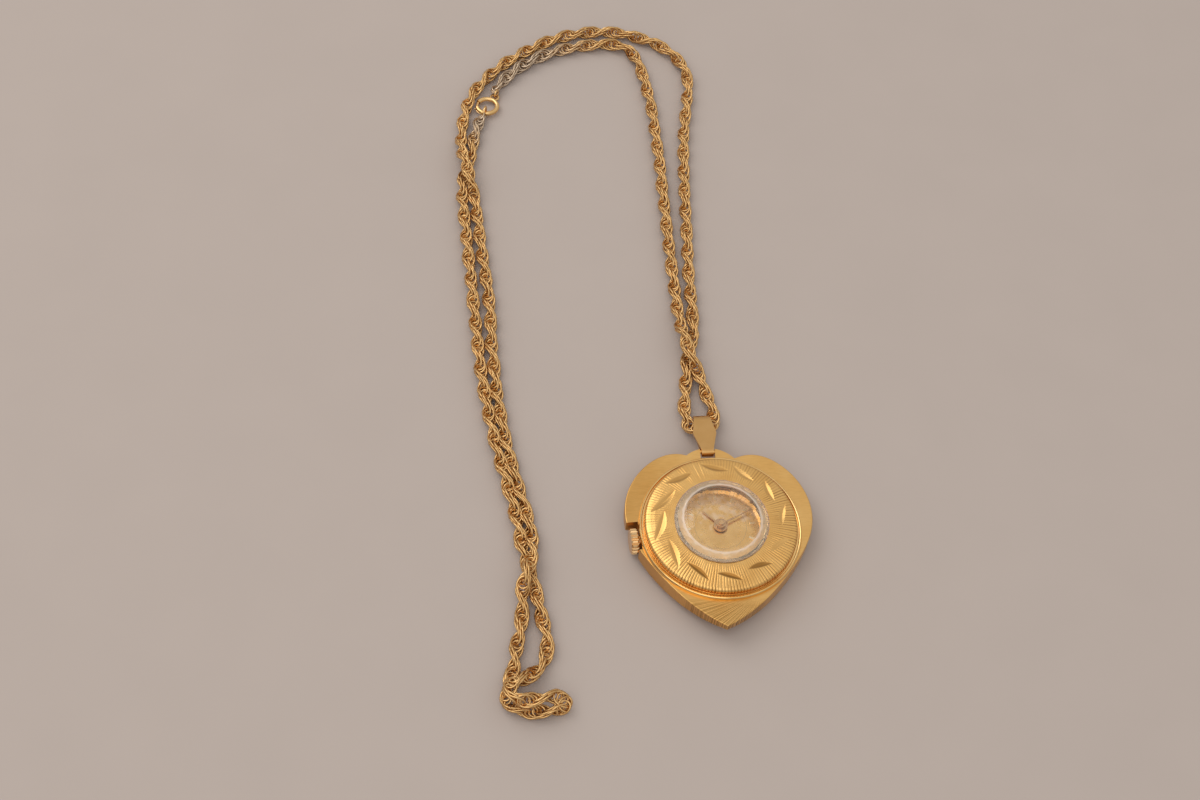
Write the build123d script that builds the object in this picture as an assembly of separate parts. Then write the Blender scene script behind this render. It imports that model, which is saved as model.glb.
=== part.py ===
"""Heart-shaped pendant watch on a rope chain, lying on its back.

Millimetres. Origin: the point where the dial axis meets the back cover's outer face.
+Z points out of the dial, +Y towards the bail.
"""
from build123d import *
from math import asin, atan2, ceil, cos, degrees, hypot, pi, radians, sin, sqrt, tan
import os

os.makedirs("parts", exist_ok=True)

# General fits
press_gap = 0.02
running_gap = 0.04
seat_gap = 0.05
overrun = 1.0

# Case, heights are above the back cover's outer face
back_thickness = 0.7
back_seat_width = 1.15
snap_skirt_wall = 0.5
snap_skirt_height = 1.0
heart_face_height = 4.9
heart_tip_length = 2.6
heart_lobe_drop = 1.5
heart_valley_depth = 2.0
underside_flat_width = 0.2
underside_slope = 0.45
heart_edge_round = 0.18
tab_radius = 6.3
tab_side_shift = -1.0
tab_thickness = 0.9
tab_slot_side_gap = 0.25
tab_slot_gap = 0.15
tab_bar_width = 0.72
tab_bar_embed = 0.35
tab_end_wall = 0.2

# Outline of the right half of the heart, from the valley to the tip.
# Shares of the half width, and of the lobe reach above or of the tip reach below the dial axis.
lobe_outline_shares = [(0.25, 0.975), (0.51, 1.0), (0.76, 0.83), (0.94, 0.535), (1.0, 0.235)]
side_outline_shares = [(0.972, 0.015), (0.874, 0.215), (0.645, 0.51), (0.352, 0.785), (0.0, 1.0)]

# Bezel
bezel_radius = 15.0
bezel_seat_width = 2.75
bezel_rim_width = 0.57
bezel_rim_height = 0.8
# Shares of the rim's width, inwards, and of its height
rim_outline_shares = [(0, 0.35), (0.07, 0.62), (0.25, 0.88), (0.5, 1.0), (0.8, 0.95), (1.0, 0.72)]
bezel_floor_thickness = 0.4
bezel_inner_radius = 8.55
plate_gap = 0.28
plate_edge_height = 0.55
plate_shoulder_width = 1.3
plate_shoulder_rise = 1.2
plate_crown_rise = 0.35
plate_thickness = 0.8
plate_bore_radius = 8.4
leaf_count = 12
leaf_edge_gap = 1.42
leaf_depth_in = 1.89
leaf_sweep_angle = 29.7
leaf_first_angle = 20.0
leaf_width = 1.25
leaf_depth = 0.22

# Crystal
crystal_flange_radius = 8.7
crystal_flange_height = 0.15
crystal_facet_height = 0.85
crystal_table_radius = 7.35
crystal_dome_rise = 0.55
crystal_wall = 1.15
crystal_facets = 24
crystal_collar_depth = 1.45
shelf_thickness = 0.3

# Dial and hands
dial_radius = 8.4
dial_thickness = 0.25
dial_hole_radius = 0.85
dial_ring_wall = 0.9
marker_ring_radius = 6.0
marker_length = 1.1
marker_width = 0.42
marker_height = 0.12
hour_angle = 135.9
minute_angle = 29.0
hour_hand_length = 4.4
minute_hand_length = 6.3
hand_width = 0.4
hand_thickness = 0.12
hand_tip_width = 0.14
hour_boss_radius = 1.3
hour_boss_height = 0.4
minute_boss_radius = 0.85
minute_boss_height = 0.45
hand_lift = 0.25
hand_gap = 0.1
cannon_tip_height = 0.3

# Movement, laid out with X to three o'clock and Y to twelve, turned as one piece in the case
movement_angle = 186.5
movement_radius = 8.6
plate_flange_width = 0.35
plate_flange_thickness = 0.15
bridge_bottom = 0.95
bridge_thickness = 0.75
train_gap = 1.2
main_plate_thickness = 2.1
motion_recess_depth = 0.9
motion_recess_radius = 4.5
motion_level_gap = 0.05
motion_tooth_height = 0.24
cannon_radius = 0.44
hour_pipe_radius = 0.6
keyless_recess_reach = 8.05
keyless_recess_low = 3.15
keyless_recess_high = 3.4
holder_step_width = 0.75
holder_step_height = 3.85
holder_low = 1.75

# Wheels
train_module = 0.11
barrel_module = 0.1
escape_module = 0.094
motion_module = 0.1
barrel_teeth = 72
center_pinion_teeth = 12
center_teeth = 64
third_pinion_teeth = 8
third_teeth = 60
fourth_pinion_teeth = 8
fourth_teeth = 60
escape_pinion_teeth = 6
escape_teeth = 15
cannon_teeth = 12
minute_teeth = 36
minute_pinion_teeth = 10
hour_teeth = 40
setting_teeth = 14
wheel_thickness = 0.22
addendum_share = 0.9
dedendum_share = 1.15
tooth_share = 0.32
tip_tooth_share = 0.13
barrel_angle = 60.0
third_angle = 300.0
fourth_direction = 195.0
escape_direction = 159.0
minute_wheel_angle = 60.0
setting_direction = -32.3
level_gap = 0.1
escape_radius = 1.6
escape_root_radius = 1.22
arbor_radius = 0.16
pivot_radius = 0.08
pivot_length = 0.3
center_arbor_radius = 0.3
hub_radius = 0.42
rim_share = 0.84
spoke_count = 4
spoke_width = 0.3
barrel_drum_wall = 0.25
barrel_drum_height = 0.56
barrel_floor = 0.12
barrel_pivot_radius = 0.3
barrel_arbor_radius = 0.42
barrel_core_radius = 0.75
mainspring_strip = 0.1
mainspring_turns = 5
balance_x = -4.9
balance_y = 1.4
balance_radius = 3.1
balance_rim_width = 0.4
balance_thickness = 0.22
roller_radius = 0.34
hairspring_outer_radius = 1.35
hairspring_inner_radius = 0.4
hairspring_turns = 5
hairspring_strip = 0.07
hairspring_height = 0.1
fork_pivot_reach = 2.1
fork_arm_width = 0.3
pallet_reach = 1.78
pallet_spread_angle = 26.0
pallet_bridge_thickness = 0.12
pallet_foot_x = -6.35
pallet_foot_y = -1.65
pallet_stone_width = 0.22
pallet_stone_length = 0.5
ratchet_teeth = 37
crown_wheel_teeth = 20
winding_room = 0.22
winding_wheel_thickness = 0.22
contrate_radius = 1.43
contrate_height = 0.33
contrate_cut = 0.25
contrate_width = 0.35
contrate_gap_share = 0.6
click_direction = 120.0
click_distance = 3.95
click_width = 0.5
click_post_radius = 0.15
click_room = 0.8

# Jewels, feet and screws
jewel_radius = 0.5
jewel_thickness = 0.3
jewel_bore_radius = 0.12
foot_ring_radius = 7.95
foot_radius = 0.42
foot_angles_barrel = [28.0, 118.0]
foot_angles_train = [330.0, 262.0]
foot_angle_cock = 200.0
cock_head_radius = 1.6
stud_radius = 0.12
bridge_side_gap = 0.2
train_shelf_gap = 1.0
center_bridge_reach = 1.0
crown_bridge_reach = 2.1
crown_bridge_start = 3.0
screw_head_radius = 0.36
screw_head_height = 0.3
screw_shank_radius = 0.18
screw_depth = 0.6
screw_slot_width = 0.1
screw_slot_depth = 0.12

# Stem and keyless work, distances along the stem are from the dial axis
stem_height = 2.9
stem_radius = 0.45
stem_square_side = 0.62
stem_inner_reach = 3.95
stem_square_reach = 5.7
stem_groove_reach = 6.95
stem_groove_width = 0.4
stem_groove_radius = 0.25
crown_pull_travel = 0.6
clutch_travel = 0.4
clutch_reach = 5.0
clutch_length = 1.0
clutch_radius = 0.9
clutch_groove_radius = 0.6
clutch_groove_width = 0.34
winding_pinion_reach = 6.3
winding_pinion_length = 0.6
winding_pinion_teeth = 20
lever_thickness = 0.2
lever_width = 0.4
lever_boss_radius = 0.42
lever_arm = 2.6
lever_pin_radius = 0.15
yoke_arm = 2.85
yoke_pin_radius = 0.12
post_radius = 0.25
crown_radius = 2.4
crown_bezel_gap = 0.2
crown_length = 1.4
crown_sink = 0.8
crown_boss_radius = 1.1
crown_boss_length = 0.6
crown_flutes = 18
crown_flute_depth = 0.25
notch_side_gap = 0.5
notch_end_gap = 0.35

# Bail
bail_bezel_gap = 0.92
bail_wall = 0.45
bail_small_radius = 0.48
bail_large_radius = 1.8
bail_length = 7.0
bail_side_shift = -1.2
bail_turn = 3.5
bail_front_wide = 2.25
bail_front_end = 1.4
bail_front_neck = 1.15
bail_wide_share = 0.42
bail_back_half_width = 1.05
bail_swing_lift = 0.05

# Chain: a plain round stand-in for the rope of links, with its route chosen by hand
chain_diameter = 2.4
ring_lift = 0.02

# Clasp
ring_x = -43.4
ring_y = 109.3
ring_major = 2.2
ring_minor = 0.5
ring_bore = 0.36
ring_gap_angle = 44.0
ring_gap_start = 150.0
gate_radius = 0.3
gate_stroke_angle = 36.0
gate_hidden_angle = 30.0
gate_nub_radius = 0.16
gate_nub_length = 0.75
gate_tip_angle = 5.0
gate_end_play_angle = 4.0
nub_slot_angle = 9.0
ring_eye_angle = 62.0
ring_eye_major = 0.8
ring_eye_minor = 0.26
jump_major = 0.85
jump_minor = 0.2
tag_major = 1.1
tag_minor = 0.24
tag_angle = 256.2
jump_shift = 0.8

# Reaches from the dial axis, worked out from the above
case_bore_radius = bezel_radius - bezel_seat_width
back_radius = case_bore_radius + back_seat_width
underside_flat_radius = back_radius + underside_flat_width
crown_inner_reach = bezel_radius + crown_bezel_gap
crown_outer_reach = crown_inner_reach + crown_length
notch_half_width = crown_radius + notch_side_gap
notch_reach = crown_inner_reach - notch_end_gap
heart_half_width = crown_outer_reach + crown_sink
heart_tip_reach = heart_half_width + heart_tip_length
heart_lobe_reach = heart_half_width - heart_lobe_drop
heart_valley_reach = heart_lobe_reach - heart_valley_depth
tab_bar_y = bezel_radius + bail_bezel_gap + bail_small_radius + bail_wall
tab_reach = tab_bar_y + tab_bar_width / 2 + tab_end_wall
tab_slot_inner_reach = bezel_radius + tab_slot_gap
tab_slot_width = 2 * (bail_front_neck + tab_slot_side_gap)
holder_step_radius = case_bore_radius - holder_step_width
plate_radius = bezel_radius - bezel_rim_width - plate_gap
leaf_outer_radius = plate_radius - leaf_edge_gap
leaf_inner_radius = leaf_outer_radius - leaf_depth_in

# Heights worked out from the above
plate_bottom = bridge_bottom + bridge_thickness + train_gap
plate_top = plate_bottom + main_plate_thickness
recess_floor = plate_top - motion_recess_depth
train_floor = bridge_bottom + bridge_thickness
dial_top = plate_top + dial_thickness
rim_top = heart_face_height + bezel_rim_height
floor_top = heart_face_height + bezel_floor_thickness
shelf_low = dial_top + seat_gap
shelf_top = shelf_low + shelf_thickness
plate_edge_top = floor_top + plate_edge_height
shoulder_top = plate_edge_top + plate_shoulder_rise
plate_crown = shoulder_top + plate_crown_rise
crystal_base = plate_crown + seat_gap
crystal_low = crystal_base - crystal_collar_depth
hour_hand_low = dial_top + hand_lift
minute_hand_low = hour_hand_low + hour_boss_height + hand_gap
cannon_top = minute_hand_low + minute_boss_height + cannon_tip_height
tab_middle = heart_face_height - tab_thickness / 2
chain_radius = chain_diameter / 2
clasp_height = ring_minor + ring_lift + 2 * tag_minor
eye_height = ring_lift + 2 * jump_minor + ring_eye_minor


def disc(radius, low, high, x=0, y=0):
    """Round plate between two heights."""
    return Pos(x, y, (low + high) / 2) * Cylinder(radius, high - low)


def tube(outer, inner, low, high, x=0, y=0):
    """Round ring between two heights."""
    cut = Pos(x, y, (low + high) / 2) * Cylinder(inner, high - low + 2 * overrun)
    return disc(outer, low, high, x, y) - cut


def block(x0, x1, y0, y1, z0, z1):
    """Box between six planes."""
    return Pos((x0 + x1) / 2, (y0 + y1) / 2, (z0 + z1) / 2) * Box(x1 - x0, y1 - y0, z1 - z0)


def turned(points):
    """Solid of revolution about Z from (radius, height) points."""
    outline = Polyline(*[(r, 0, z) for r, z in points], close=True)
    return revolve(make_face(outline), axis=Axis.Z)


def prism(points, low, high):
    """Straight-sided plate from a closed outline."""
    face = make_face(Polyline(*points, close=True))
    return Pos(0, 0, low) * extrude(face, amount=high - low, dir=(0, 0, 1))


def polar(radius, angle):
    """Point at a distance and an angle in degrees."""
    return radius * cos(radians(angle)), radius * sin(radians(angle))


def in_case(shape):
    """Turn a movement piece to its place in the case."""
    return Rot(0, 0, movement_angle) * shape


def gear_outline(teeth, module, phase):
    """Outline of a wheel with straight-flanked teeth; one tooth is centred at the phase angle."""
    pitch = teeth * module / 2
    tip = pitch + addendum_share * module
    root = pitch - dedendum_share * module
    step = 360 / teeth
    points = []
    for index in range(teeth):
        middle = phase + index * step
        points.append(polar(root, middle - tooth_share * step))
        points.append(polar(tip, middle - tip_tooth_share * step))
        points.append(polar(tip, middle + tip_tooth_share * step))
        points.append(polar(root, middle + tooth_share * step))
    return points


def gear(teeth, module, phase, low, high, x=0, y=0):
    """Toothed disc between two heights."""
    return Pos(x, y, 0) * prism(gear_outline(teeth, module, phase), low, high)


def mesh_phase(direction, phase, teeth, mate_teeth):
    """Phase of a mating wheel that lies in the given direction and stands in mesh."""
    share = ((direction - phase) * teeth / 360) % 1
    return direction + 180 - (0.5 - share) * 360 / mate_teeth


def windows(outer, inner, count, bar, low, high, x, y):
    """Openings that leave spokes in a wheel."""
    ring = tube(outer, inner, low - overrun, high + overrun, x, y)
    for index in range(count):
        spoke = Pos(x, y, (low + high) / 2) * Rot(0, 0, index * 360 / count)
        ring -= spoke * Pos(outer / 2, 0, 0) * Box(outer, bar, high - low + 3 * overrun)
    return ring


def wheel(teeth, module, phase, low, x, y):
    """Spoked train wheel."""
    pitch = teeth * module / 2
    high = low + wheel_thickness
    body = gear(teeth, module, phase, low, high, x, y)
    return body - windows(pitch * rim_share, hub_radius, spoke_count, spoke_width, low, high, x, y)


def arbor(x, y, low, high):
    """Arbor with a pivot at each end."""
    body = disc(arbor_radius, low, high, x, y)
    return body + disc(pivot_radius, low - pivot_length, high + pivot_length, x, y)


def spiral(turns, inner, outer, strip, low, high, x, y):
    """Flat spring of a thin strip, wound outwards."""
    steps = 24 * turns
    inside = []
    outside = []
    for index in range(steps + 1):
        radius = inner + (outer - inner) * index / steps
        angle = 360 * turns * index / steps
        inside.append(polar(radius - strip / 2, angle))
        outside.append(polar(radius + strip / 2, angle))
    return Pos(x, y, 0) * prism(inside + outside[::-1], low, high)


def torus_arc(major, minor, start, sweep, x, y, z):
    """Round bar bent along an arc in a level plane."""
    section = Pos(major, 0, 0) * Rot(90, 0, 0) * Circle(minor)
    return Pos(x, y, z) * Rot(0, 0, start) * revolve(section, axis=Axis.Z, revolution_arc=sweep)


# Wheel centres in the movement
barrel_distance = (barrel_teeth + center_pinion_teeth) / 2 * barrel_module
third_distance = (center_teeth + third_pinion_teeth) / 2 * train_module
fourth_distance = (third_teeth + fourth_pinion_teeth) / 2 * train_module
escape_distance = (fourth_teeth + escape_pinion_teeth) / 2 * escape_module
motion_distance = (cannon_teeth + minute_teeth) / 2 * motion_module
hour_module = 2 * motion_distance / (minute_pinion_teeth + hour_teeth)
setting_distance = (minute_teeth + setting_teeth) / 2 * motion_module
barrel_x, barrel_y = polar(barrel_distance, barrel_angle)
third_x, third_y = polar(third_distance, third_angle)
fourth_x = third_x + polar(fourth_distance, fourth_direction)[0]
fourth_y = third_y + polar(fourth_distance, fourth_direction)[1]
escape_x = fourth_x + polar(escape_distance, escape_direction)[0]
escape_y = fourth_y + polar(escape_distance, escape_direction)[1]
fork_direction = degrees(atan2(balance_y - escape_y, balance_x - escape_x))
fork_x = escape_x + polar(fork_pivot_reach, fork_direction)[0]
fork_y = escape_y + polar(fork_pivot_reach, fork_direction)[1]
fork_length = hypot(balance_x - fork_x, balance_y - fork_y) - roller_radius - running_gap
minute_x, minute_y = polar(motion_distance, minute_wheel_angle)
setting_x = minute_x + polar(setting_distance, setting_direction)[0]
setting_y = minute_y + polar(setting_distance, setting_direction)[1]
crown_wheel_x = winding_pinion_reach - contrate_radius
crown_wheel_y = 0
crown_wheel_distance = hypot(crown_wheel_x - barrel_x, crown_wheel_y - barrel_y)
crown_wheel_direction = degrees(atan2(crown_wheel_y - barrel_y, crown_wheel_x - barrel_x))
winding_module = 2 * crown_wheel_distance / (ratchet_teeth + crown_wheel_teeth)
ratchet_radius = ratchet_teeth * winding_module / 2
crown_wheel_radius = crown_wheel_teeth * winding_module / 2
face_module = 2 * contrate_radius / crown_wheel_teeth
winding_pinion_radius = winding_pinion_teeth * face_module / 2
winding_pinion_tip = winding_pinion_radius + addendum_share * face_module
click_x = barrel_x + polar(click_distance, click_direction)[0]
click_y = barrel_y + polar(click_distance, click_direction)[1]

# Phases that stand the teeth in mesh; the driving wheel of each pair has its first tooth on X
third_pinion_phase = mesh_phase(third_angle, 0, center_teeth, third_pinion_teeth)
fourth_pinion_phase = mesh_phase(fourth_direction, 0, third_teeth, fourth_pinion_teeth)
escape_pinion_phase = mesh_phase(escape_direction, 0, fourth_teeth, escape_pinion_teeth)
center_pinion_phase = mesh_phase(barrel_angle + 180, 0, barrel_teeth, center_pinion_teeth)
cannon_phase = mesh_phase(minute_wheel_angle + 180, 0, minute_teeth, cannon_teeth)
hour_phase = mesh_phase(minute_wheel_angle + 180, 0, minute_pinion_teeth, hour_teeth)
setting_phase = mesh_phase(setting_direction, 0, minute_teeth, setting_teeth)
crown_wheel_phase = mesh_phase(crown_wheel_direction, 0, ratchet_teeth, crown_wheel_teeth)

# Levels of the wheels, counted from the bridges towards the dial
level_low = train_floor + level_gap
level_middle = level_low + wheel_thickness + level_gap
level_high = level_middle + wheel_thickness + level_gap
balance_low = train_floor + level_gap + hairspring_height + level_gap
pivot_plate_z = plate_bottom + pivot_length
pivot_bridge_z = train_floor - pivot_length
pallet_bridge_low = balance_low + balance_thickness + seat_gap
center_arbor_top = minute_hand_low
hour_wheel_low = recess_floor + motion_level_gap + motion_tooth_height + motion_level_gap

jewel_points_train = [(third_x, third_y), (fourth_x, fourth_y), (escape_x, escape_y)]
jewel_points_plate = jewel_points_train + [(balance_x, balance_y), (fork_x, fork_y)]
foot_points_barrel = [polar(foot_ring_radius, angle) for angle in foot_angles_barrel]
foot_points_train = [polar(foot_ring_radius, angle) for angle in foot_angles_train]
foot_point_cock = polar(foot_ring_radius, foot_angle_cock)
screw_points = foot_points_barrel + foot_points_train + [foot_point_cock]


def heart_face():
    """Flat outline of the heart with its dial axis at the origin."""
    right = [(x * heart_half_width, y * heart_lobe_reach) for x, y in lobe_outline_shares]
    right += [(x * heart_half_width, -y * heart_tip_reach) for x, y in side_outline_shares]
    left = [(-x, y) for x, y in reversed(right)]
    valley = (0, heart_valley_reach)
    edges = [Spline(*right), Spline(*left), Line(left[-1], valley), Line(valley, right[0])]
    return make_face(Wire(edges))


def make_case_body():
    body = Pos(0, 0, back_thickness) * extrude(heart_face(), heart_face_height - back_thickness)
    body = fillet(body.edges().group_by(Axis.Z)[-1], heart_edge_round)
    wide = heart_half_width + heart_tip_reach
    cone_top = back_thickness + underside_slope * (wide - underside_flat_radius)
    cut_low = back_thickness - overrun
    body -= turned([(underside_flat_radius, back_thickness), (wide, cone_top), (wide, cut_low),
                    (underside_flat_radius, cut_low)])
    tab_low = heart_face_height - tab_thickness
    body += disc(tab_radius, tab_low, heart_face_height, tab_side_shift, tab_reach - tab_radius)
    slot = block(-tab_slot_width / 2, tab_slot_width / 2, tab_slot_inner_reach, tab_reach + overrun,
                 back_thickness - overrun, heart_face_height + overrun)
    body -= Pos(bail_side_shift, 0, 0) * slot
    bar = Cylinder(tab_bar_width / 2, tab_slot_width + 2 * tab_bar_embed)
    body += Pos(bail_side_shift, tab_bar_y, tab_middle) * Rot(0, 90, 0) * bar
    body -= disc(case_bore_radius, back_thickness - overrun, heart_face_height + overrun)
    notch = block(notch_reach, heart_half_width + overrun, -notch_half_width, notch_half_width,
                  back_thickness - overrun, heart_face_height + overrun)
    body -= in_case(notch)
    boss_bore = crown_boss_radius + running_gap
    body -= in_case(stem_bore(boss_bore, notch_reach - crown_boss_length, notch_reach + overrun))
    body -= in_case(stem_bore(stem_radius + running_gap, case_bore_radius - overrun, notch_reach))
    return body


def stem_bore(radius, start, end):
    """Round bar along the stem's axis, in the movement's layout."""
    return Pos((start + end) / 2, 0, stem_height) * Rot(0, 90, 0) * Cylinder(radius, end - start)


def make_case_back():
    body = disc(back_radius, 0, back_thickness)
    skirt_outer = case_bore_radius - running_gap
    skirt_top = back_thickness + snap_skirt_height
    return body + tube(skirt_outer, skirt_outer - snap_skirt_wall, back_thickness, skirt_top)


def make_bezel_ring():
    rim_inner = bezel_radius - bezel_rim_width
    rim = [(bezel_radius - inward * bezel_rim_width, heart_face_height + up * bezel_rim_height)
           for inward, up in rim_outline_shares]
    skirt_outer = case_bore_radius - running_gap
    skirt_inner = skirt_outer - snap_skirt_wall
    skirt_low = heart_face_height - snap_skirt_height
    return turned([
        (bezel_radius, heart_face_height), *rim, (rim_inner, floor_top),
        (skirt_outer, floor_top), (skirt_outer, shelf_top), (bezel_inner_radius, shelf_top),
        (bezel_inner_radius, shelf_low), (skirt_inner, shelf_low), (skirt_inner, skirt_low),
        (skirt_outer, skirt_low), (skirt_outer, heart_face_height)])


def plate_profile():
    """Half section of the engraved disc: an edge wall, a rounded shoulder and a low cone."""
    shoulder = plate_radius - plate_shoulder_width
    middle = (plate_radius - plate_shoulder_width * 0.22, plate_edge_top + plate_shoulder_rise * 0.62)
    top = [(plate_radius, floor_top), (plate_radius, plate_edge_top), middle, (shoulder, shoulder_top),
           (plate_bore_radius, plate_crown), (plate_bore_radius, plate_crown - plate_thickness)]
    under_shoulder = (shoulder - plate_thickness / 2, shoulder_top - plate_thickness)
    under_edge = (plate_radius - plate_thickness, floor_top)
    return top + [under_shoulder, under_edge]


def leaf_cutter(index):
    """One leaf-shaped graver cut: the path of a pointed wheel that dips into the cone."""
    outer = polar(leaf_outer_radius, leaf_first_angle + index * 360 / leaf_count)
    inner = polar(leaf_inner_radius, leaf_first_angle + index * 360 / leaf_count - leaf_sweep_angle)
    middle = ((outer[0] + inner[0]) / 2, (outer[1] + inner[1]) / 2)
    length = hypot(outer[0] - inner[0], outer[1] - inner[1])
    across = degrees(atan2(outer[1] - inner[1], outer[0] - inner[0]))
    wheel_radius = (length ** 2 / 4 + leaf_depth ** 2) / (2 * leaf_depth)
    rise = leaf_depth * 3
    spread = rise * leaf_width / (2 * leaf_depth)
    wedge = Pos(0, 0, -wheel_radius) * make_face(Polyline((0, 0, 0), (0, -spread, rise), (0, spread, rise),
                                                          close=True))
    half_sweep = degrees(asin(length / wheel_radius))
    wedge = Rot(0, -half_sweep, 0) * wedge
    cut = Pos(0, 0, wheel_radius) * revolve(wedge, axis=Axis.Y, revolution_arc=2 * half_sweep)
    fall = (plate_crown - shoulder_top) / (plate_radius - plate_shoulder_width - plate_bore_radius)
    surface = plate_crown - fall * (hypot(*middle) - plate_bore_radius)
    lean = degrees(atan2(fall * (leaf_outer_radius - leaf_inner_radius), length))
    return Pos(middle[0], middle[1], surface - leaf_depth) * Rot(0, 0, across) * Rot(0, lean, 0) * cut


def make_bezel_plate():
    body = turned(plate_profile())
    for index in range(leaf_count):
        body -= leaf_cutter(index)
    return body


def make_crystal():
    collar = plate_bore_radius - press_gap
    flange_top = crystal_base + crystal_flange_height
    table = flange_top + crystal_facet_height
    slant = degrees(atan2(crystal_flange_radius - crystal_table_radius, crystal_facet_height))
    body = disc(collar, crystal_low, crystal_base)
    body += disc(crystal_flange_radius, crystal_base, flange_top)
    facets = extrude(RegularPolygon(crystal_flange_radius, crystal_facets), crystal_facet_height, taper=slant)
    body += Pos(0, 0, flange_top) * facets
    dome_radius = (crystal_table_radius ** 2 + crystal_dome_rise ** 2) / (2 * crystal_dome_rise)
    cap = Pos(0, 0, table + crystal_dome_rise - dome_radius) * Sphere(dome_radius)
    column_radius = crystal_table_radius * cos(pi / crystal_facets) - seat_gap
    column = disc(column_radius, table - crystal_dome_rise, table + overrun)
    body += cap & column
    inside = plate_bore_radius - crystal_wall
    dome_centre = table + crystal_dome_rise - dome_radius - crystal_wall / 2
    hollow_dome = Pos(0, 0, dome_centre) * Sphere(dome_radius)
    return body - (hollow_dome & disc(inside, crystal_low - overrun, table + overrun))


def make_dial_ring():
    outer = bezel_inner_radius - seat_gap
    return tube(outer, plate_bore_radius - dial_ring_wall, dial_top, crystal_low - seat_gap)


def make_dial():
    return tube(dial_radius, dial_hole_radius, plate_top, dial_top)


def make_markers():
    """Applied hour markers; twelve o'clock has a pair."""
    markers = []
    for hour in range(12):
        shifts = [-marker_width * 0.75, marker_width * 0.75] if hour == 0 else [0]
        for shift in shifts:
            bar = Box(marker_length, marker_width, marker_height)
            place = Rot(0, 0, 90 - hour * 30) * Pos(marker_ring_radius, shift, dial_top + marker_height / 2)
            markers.append(in_case(place * bar))
    return Compound(children=markers)


def hand(length, boss_radius, boss_height, bore, low, angle):
    """Baton hand with a round boss."""
    half = hand_width / 2
    tip = hand_tip_width / 2
    blade = prism([(0, -half), (length, -tip), (length, tip), (0, half)], low, low + hand_thickness)
    body = blade + disc(boss_radius, low, low + boss_height)
    body -= disc(bore, low - overrun, low + boss_height + overrun)
    return Rot(0, 0, angle) * body


def make_bail():
    """Looped plate: two round ends joined by straight legs, cut to its outline from above."""
    small_y, small_z = tab_bar_y, tab_middle
    large_y = tab_bar_y + bail_length
    large_z = bail_large_radius + bail_wall + bail_swing_lift
    outer = make_hull((Pos(small_y, small_z) * Circle(bail_small_radius + bail_wall)).edges()
                      + (Pos(large_y, large_z) * Circle(bail_large_radius + bail_wall)).edges())
    inner = make_hull((Pos(small_y, small_z) * Circle(bail_small_radius)).edges()
                      + (Pos(large_y, large_z) * Circle(bail_large_radius)).edges())
    side = outer - inner
    wide = 2 * bail_front_wide
    loop = Plane.YZ.offset(-bail_front_wide) * extrude(side, wide)
    low_y = small_y - bail_small_radius - bail_wall - overrun
    high_y = large_y + bail_large_radius + bail_wall + overrun
    wide_y = large_y - bail_wide_share * bail_length
    top_z = heart_face_height + overrun
    split_low = small_z - bail_small_radius / 2
    front = [(-bail_front_neck, low_y), (bail_front_neck, low_y), (bail_front_neck, small_y),
             (bail_front_wide, wide_y), (bail_front_end, large_y + bail_large_radius),
             (bail_front_end, high_y), (-bail_front_end, high_y),
             (-bail_front_end, large_y + bail_large_radius), (-bail_front_wide, wide_y),
             (-bail_front_neck, small_y)]
    front_cut = prism(front, back_thickness - 2 * overrun, rim_top)
    back_cut = prism([(-bail_back_half_width, low_y), (bail_back_half_width, low_y),
                      (bail_back_half_width, high_y), (-bail_back_half_width, high_y)],
                     back_thickness - 2 * overrun, rim_top)
    upper = prism_side([(low_y, split_low), (high_y, large_z), (high_y, top_z + overrun),
                                       (low_y, top_z + overrun)], bail_front_wide + overrun)
    body = (loop & front_cut & upper) + (loop & back_cut)
    return Pos(bail_side_shift, tab_bar_y, 0) * Rot(0, 0, bail_turn) * Pos(0, -tab_bar_y, 0) * body


def prism_side(points, half):
    """Plate whose outline is drawn in the level YZ plane, centred on X."""
    face = make_face(Polyline(*[(0, y, z) for y, z in points], close=True))
    return Pos(-half, 0, 0) * extrude(face, amount=2 * half, dir=(1, 0, 0))


def make_movement_ring():
    outer_high = tube(case_bore_radius - seat_gap, movement_radius + seat_gap, holder_low, holder_step_height)
    inner_high = tube(holder_step_radius, movement_radius + seat_gap, holder_step_height, plate_top)
    body = outer_high + inner_high
    flange_room = movement_radius + plate_flange_width + seat_gap
    body -= disc(flange_room, plate_top - plate_flange_thickness - seat_gap, plate_top + overrun)
    bore = stem_radius + running_gap
    body -= in_case(stem_bore(bore, movement_radius - overrun, case_bore_radius + overrun))
    return body


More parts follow.
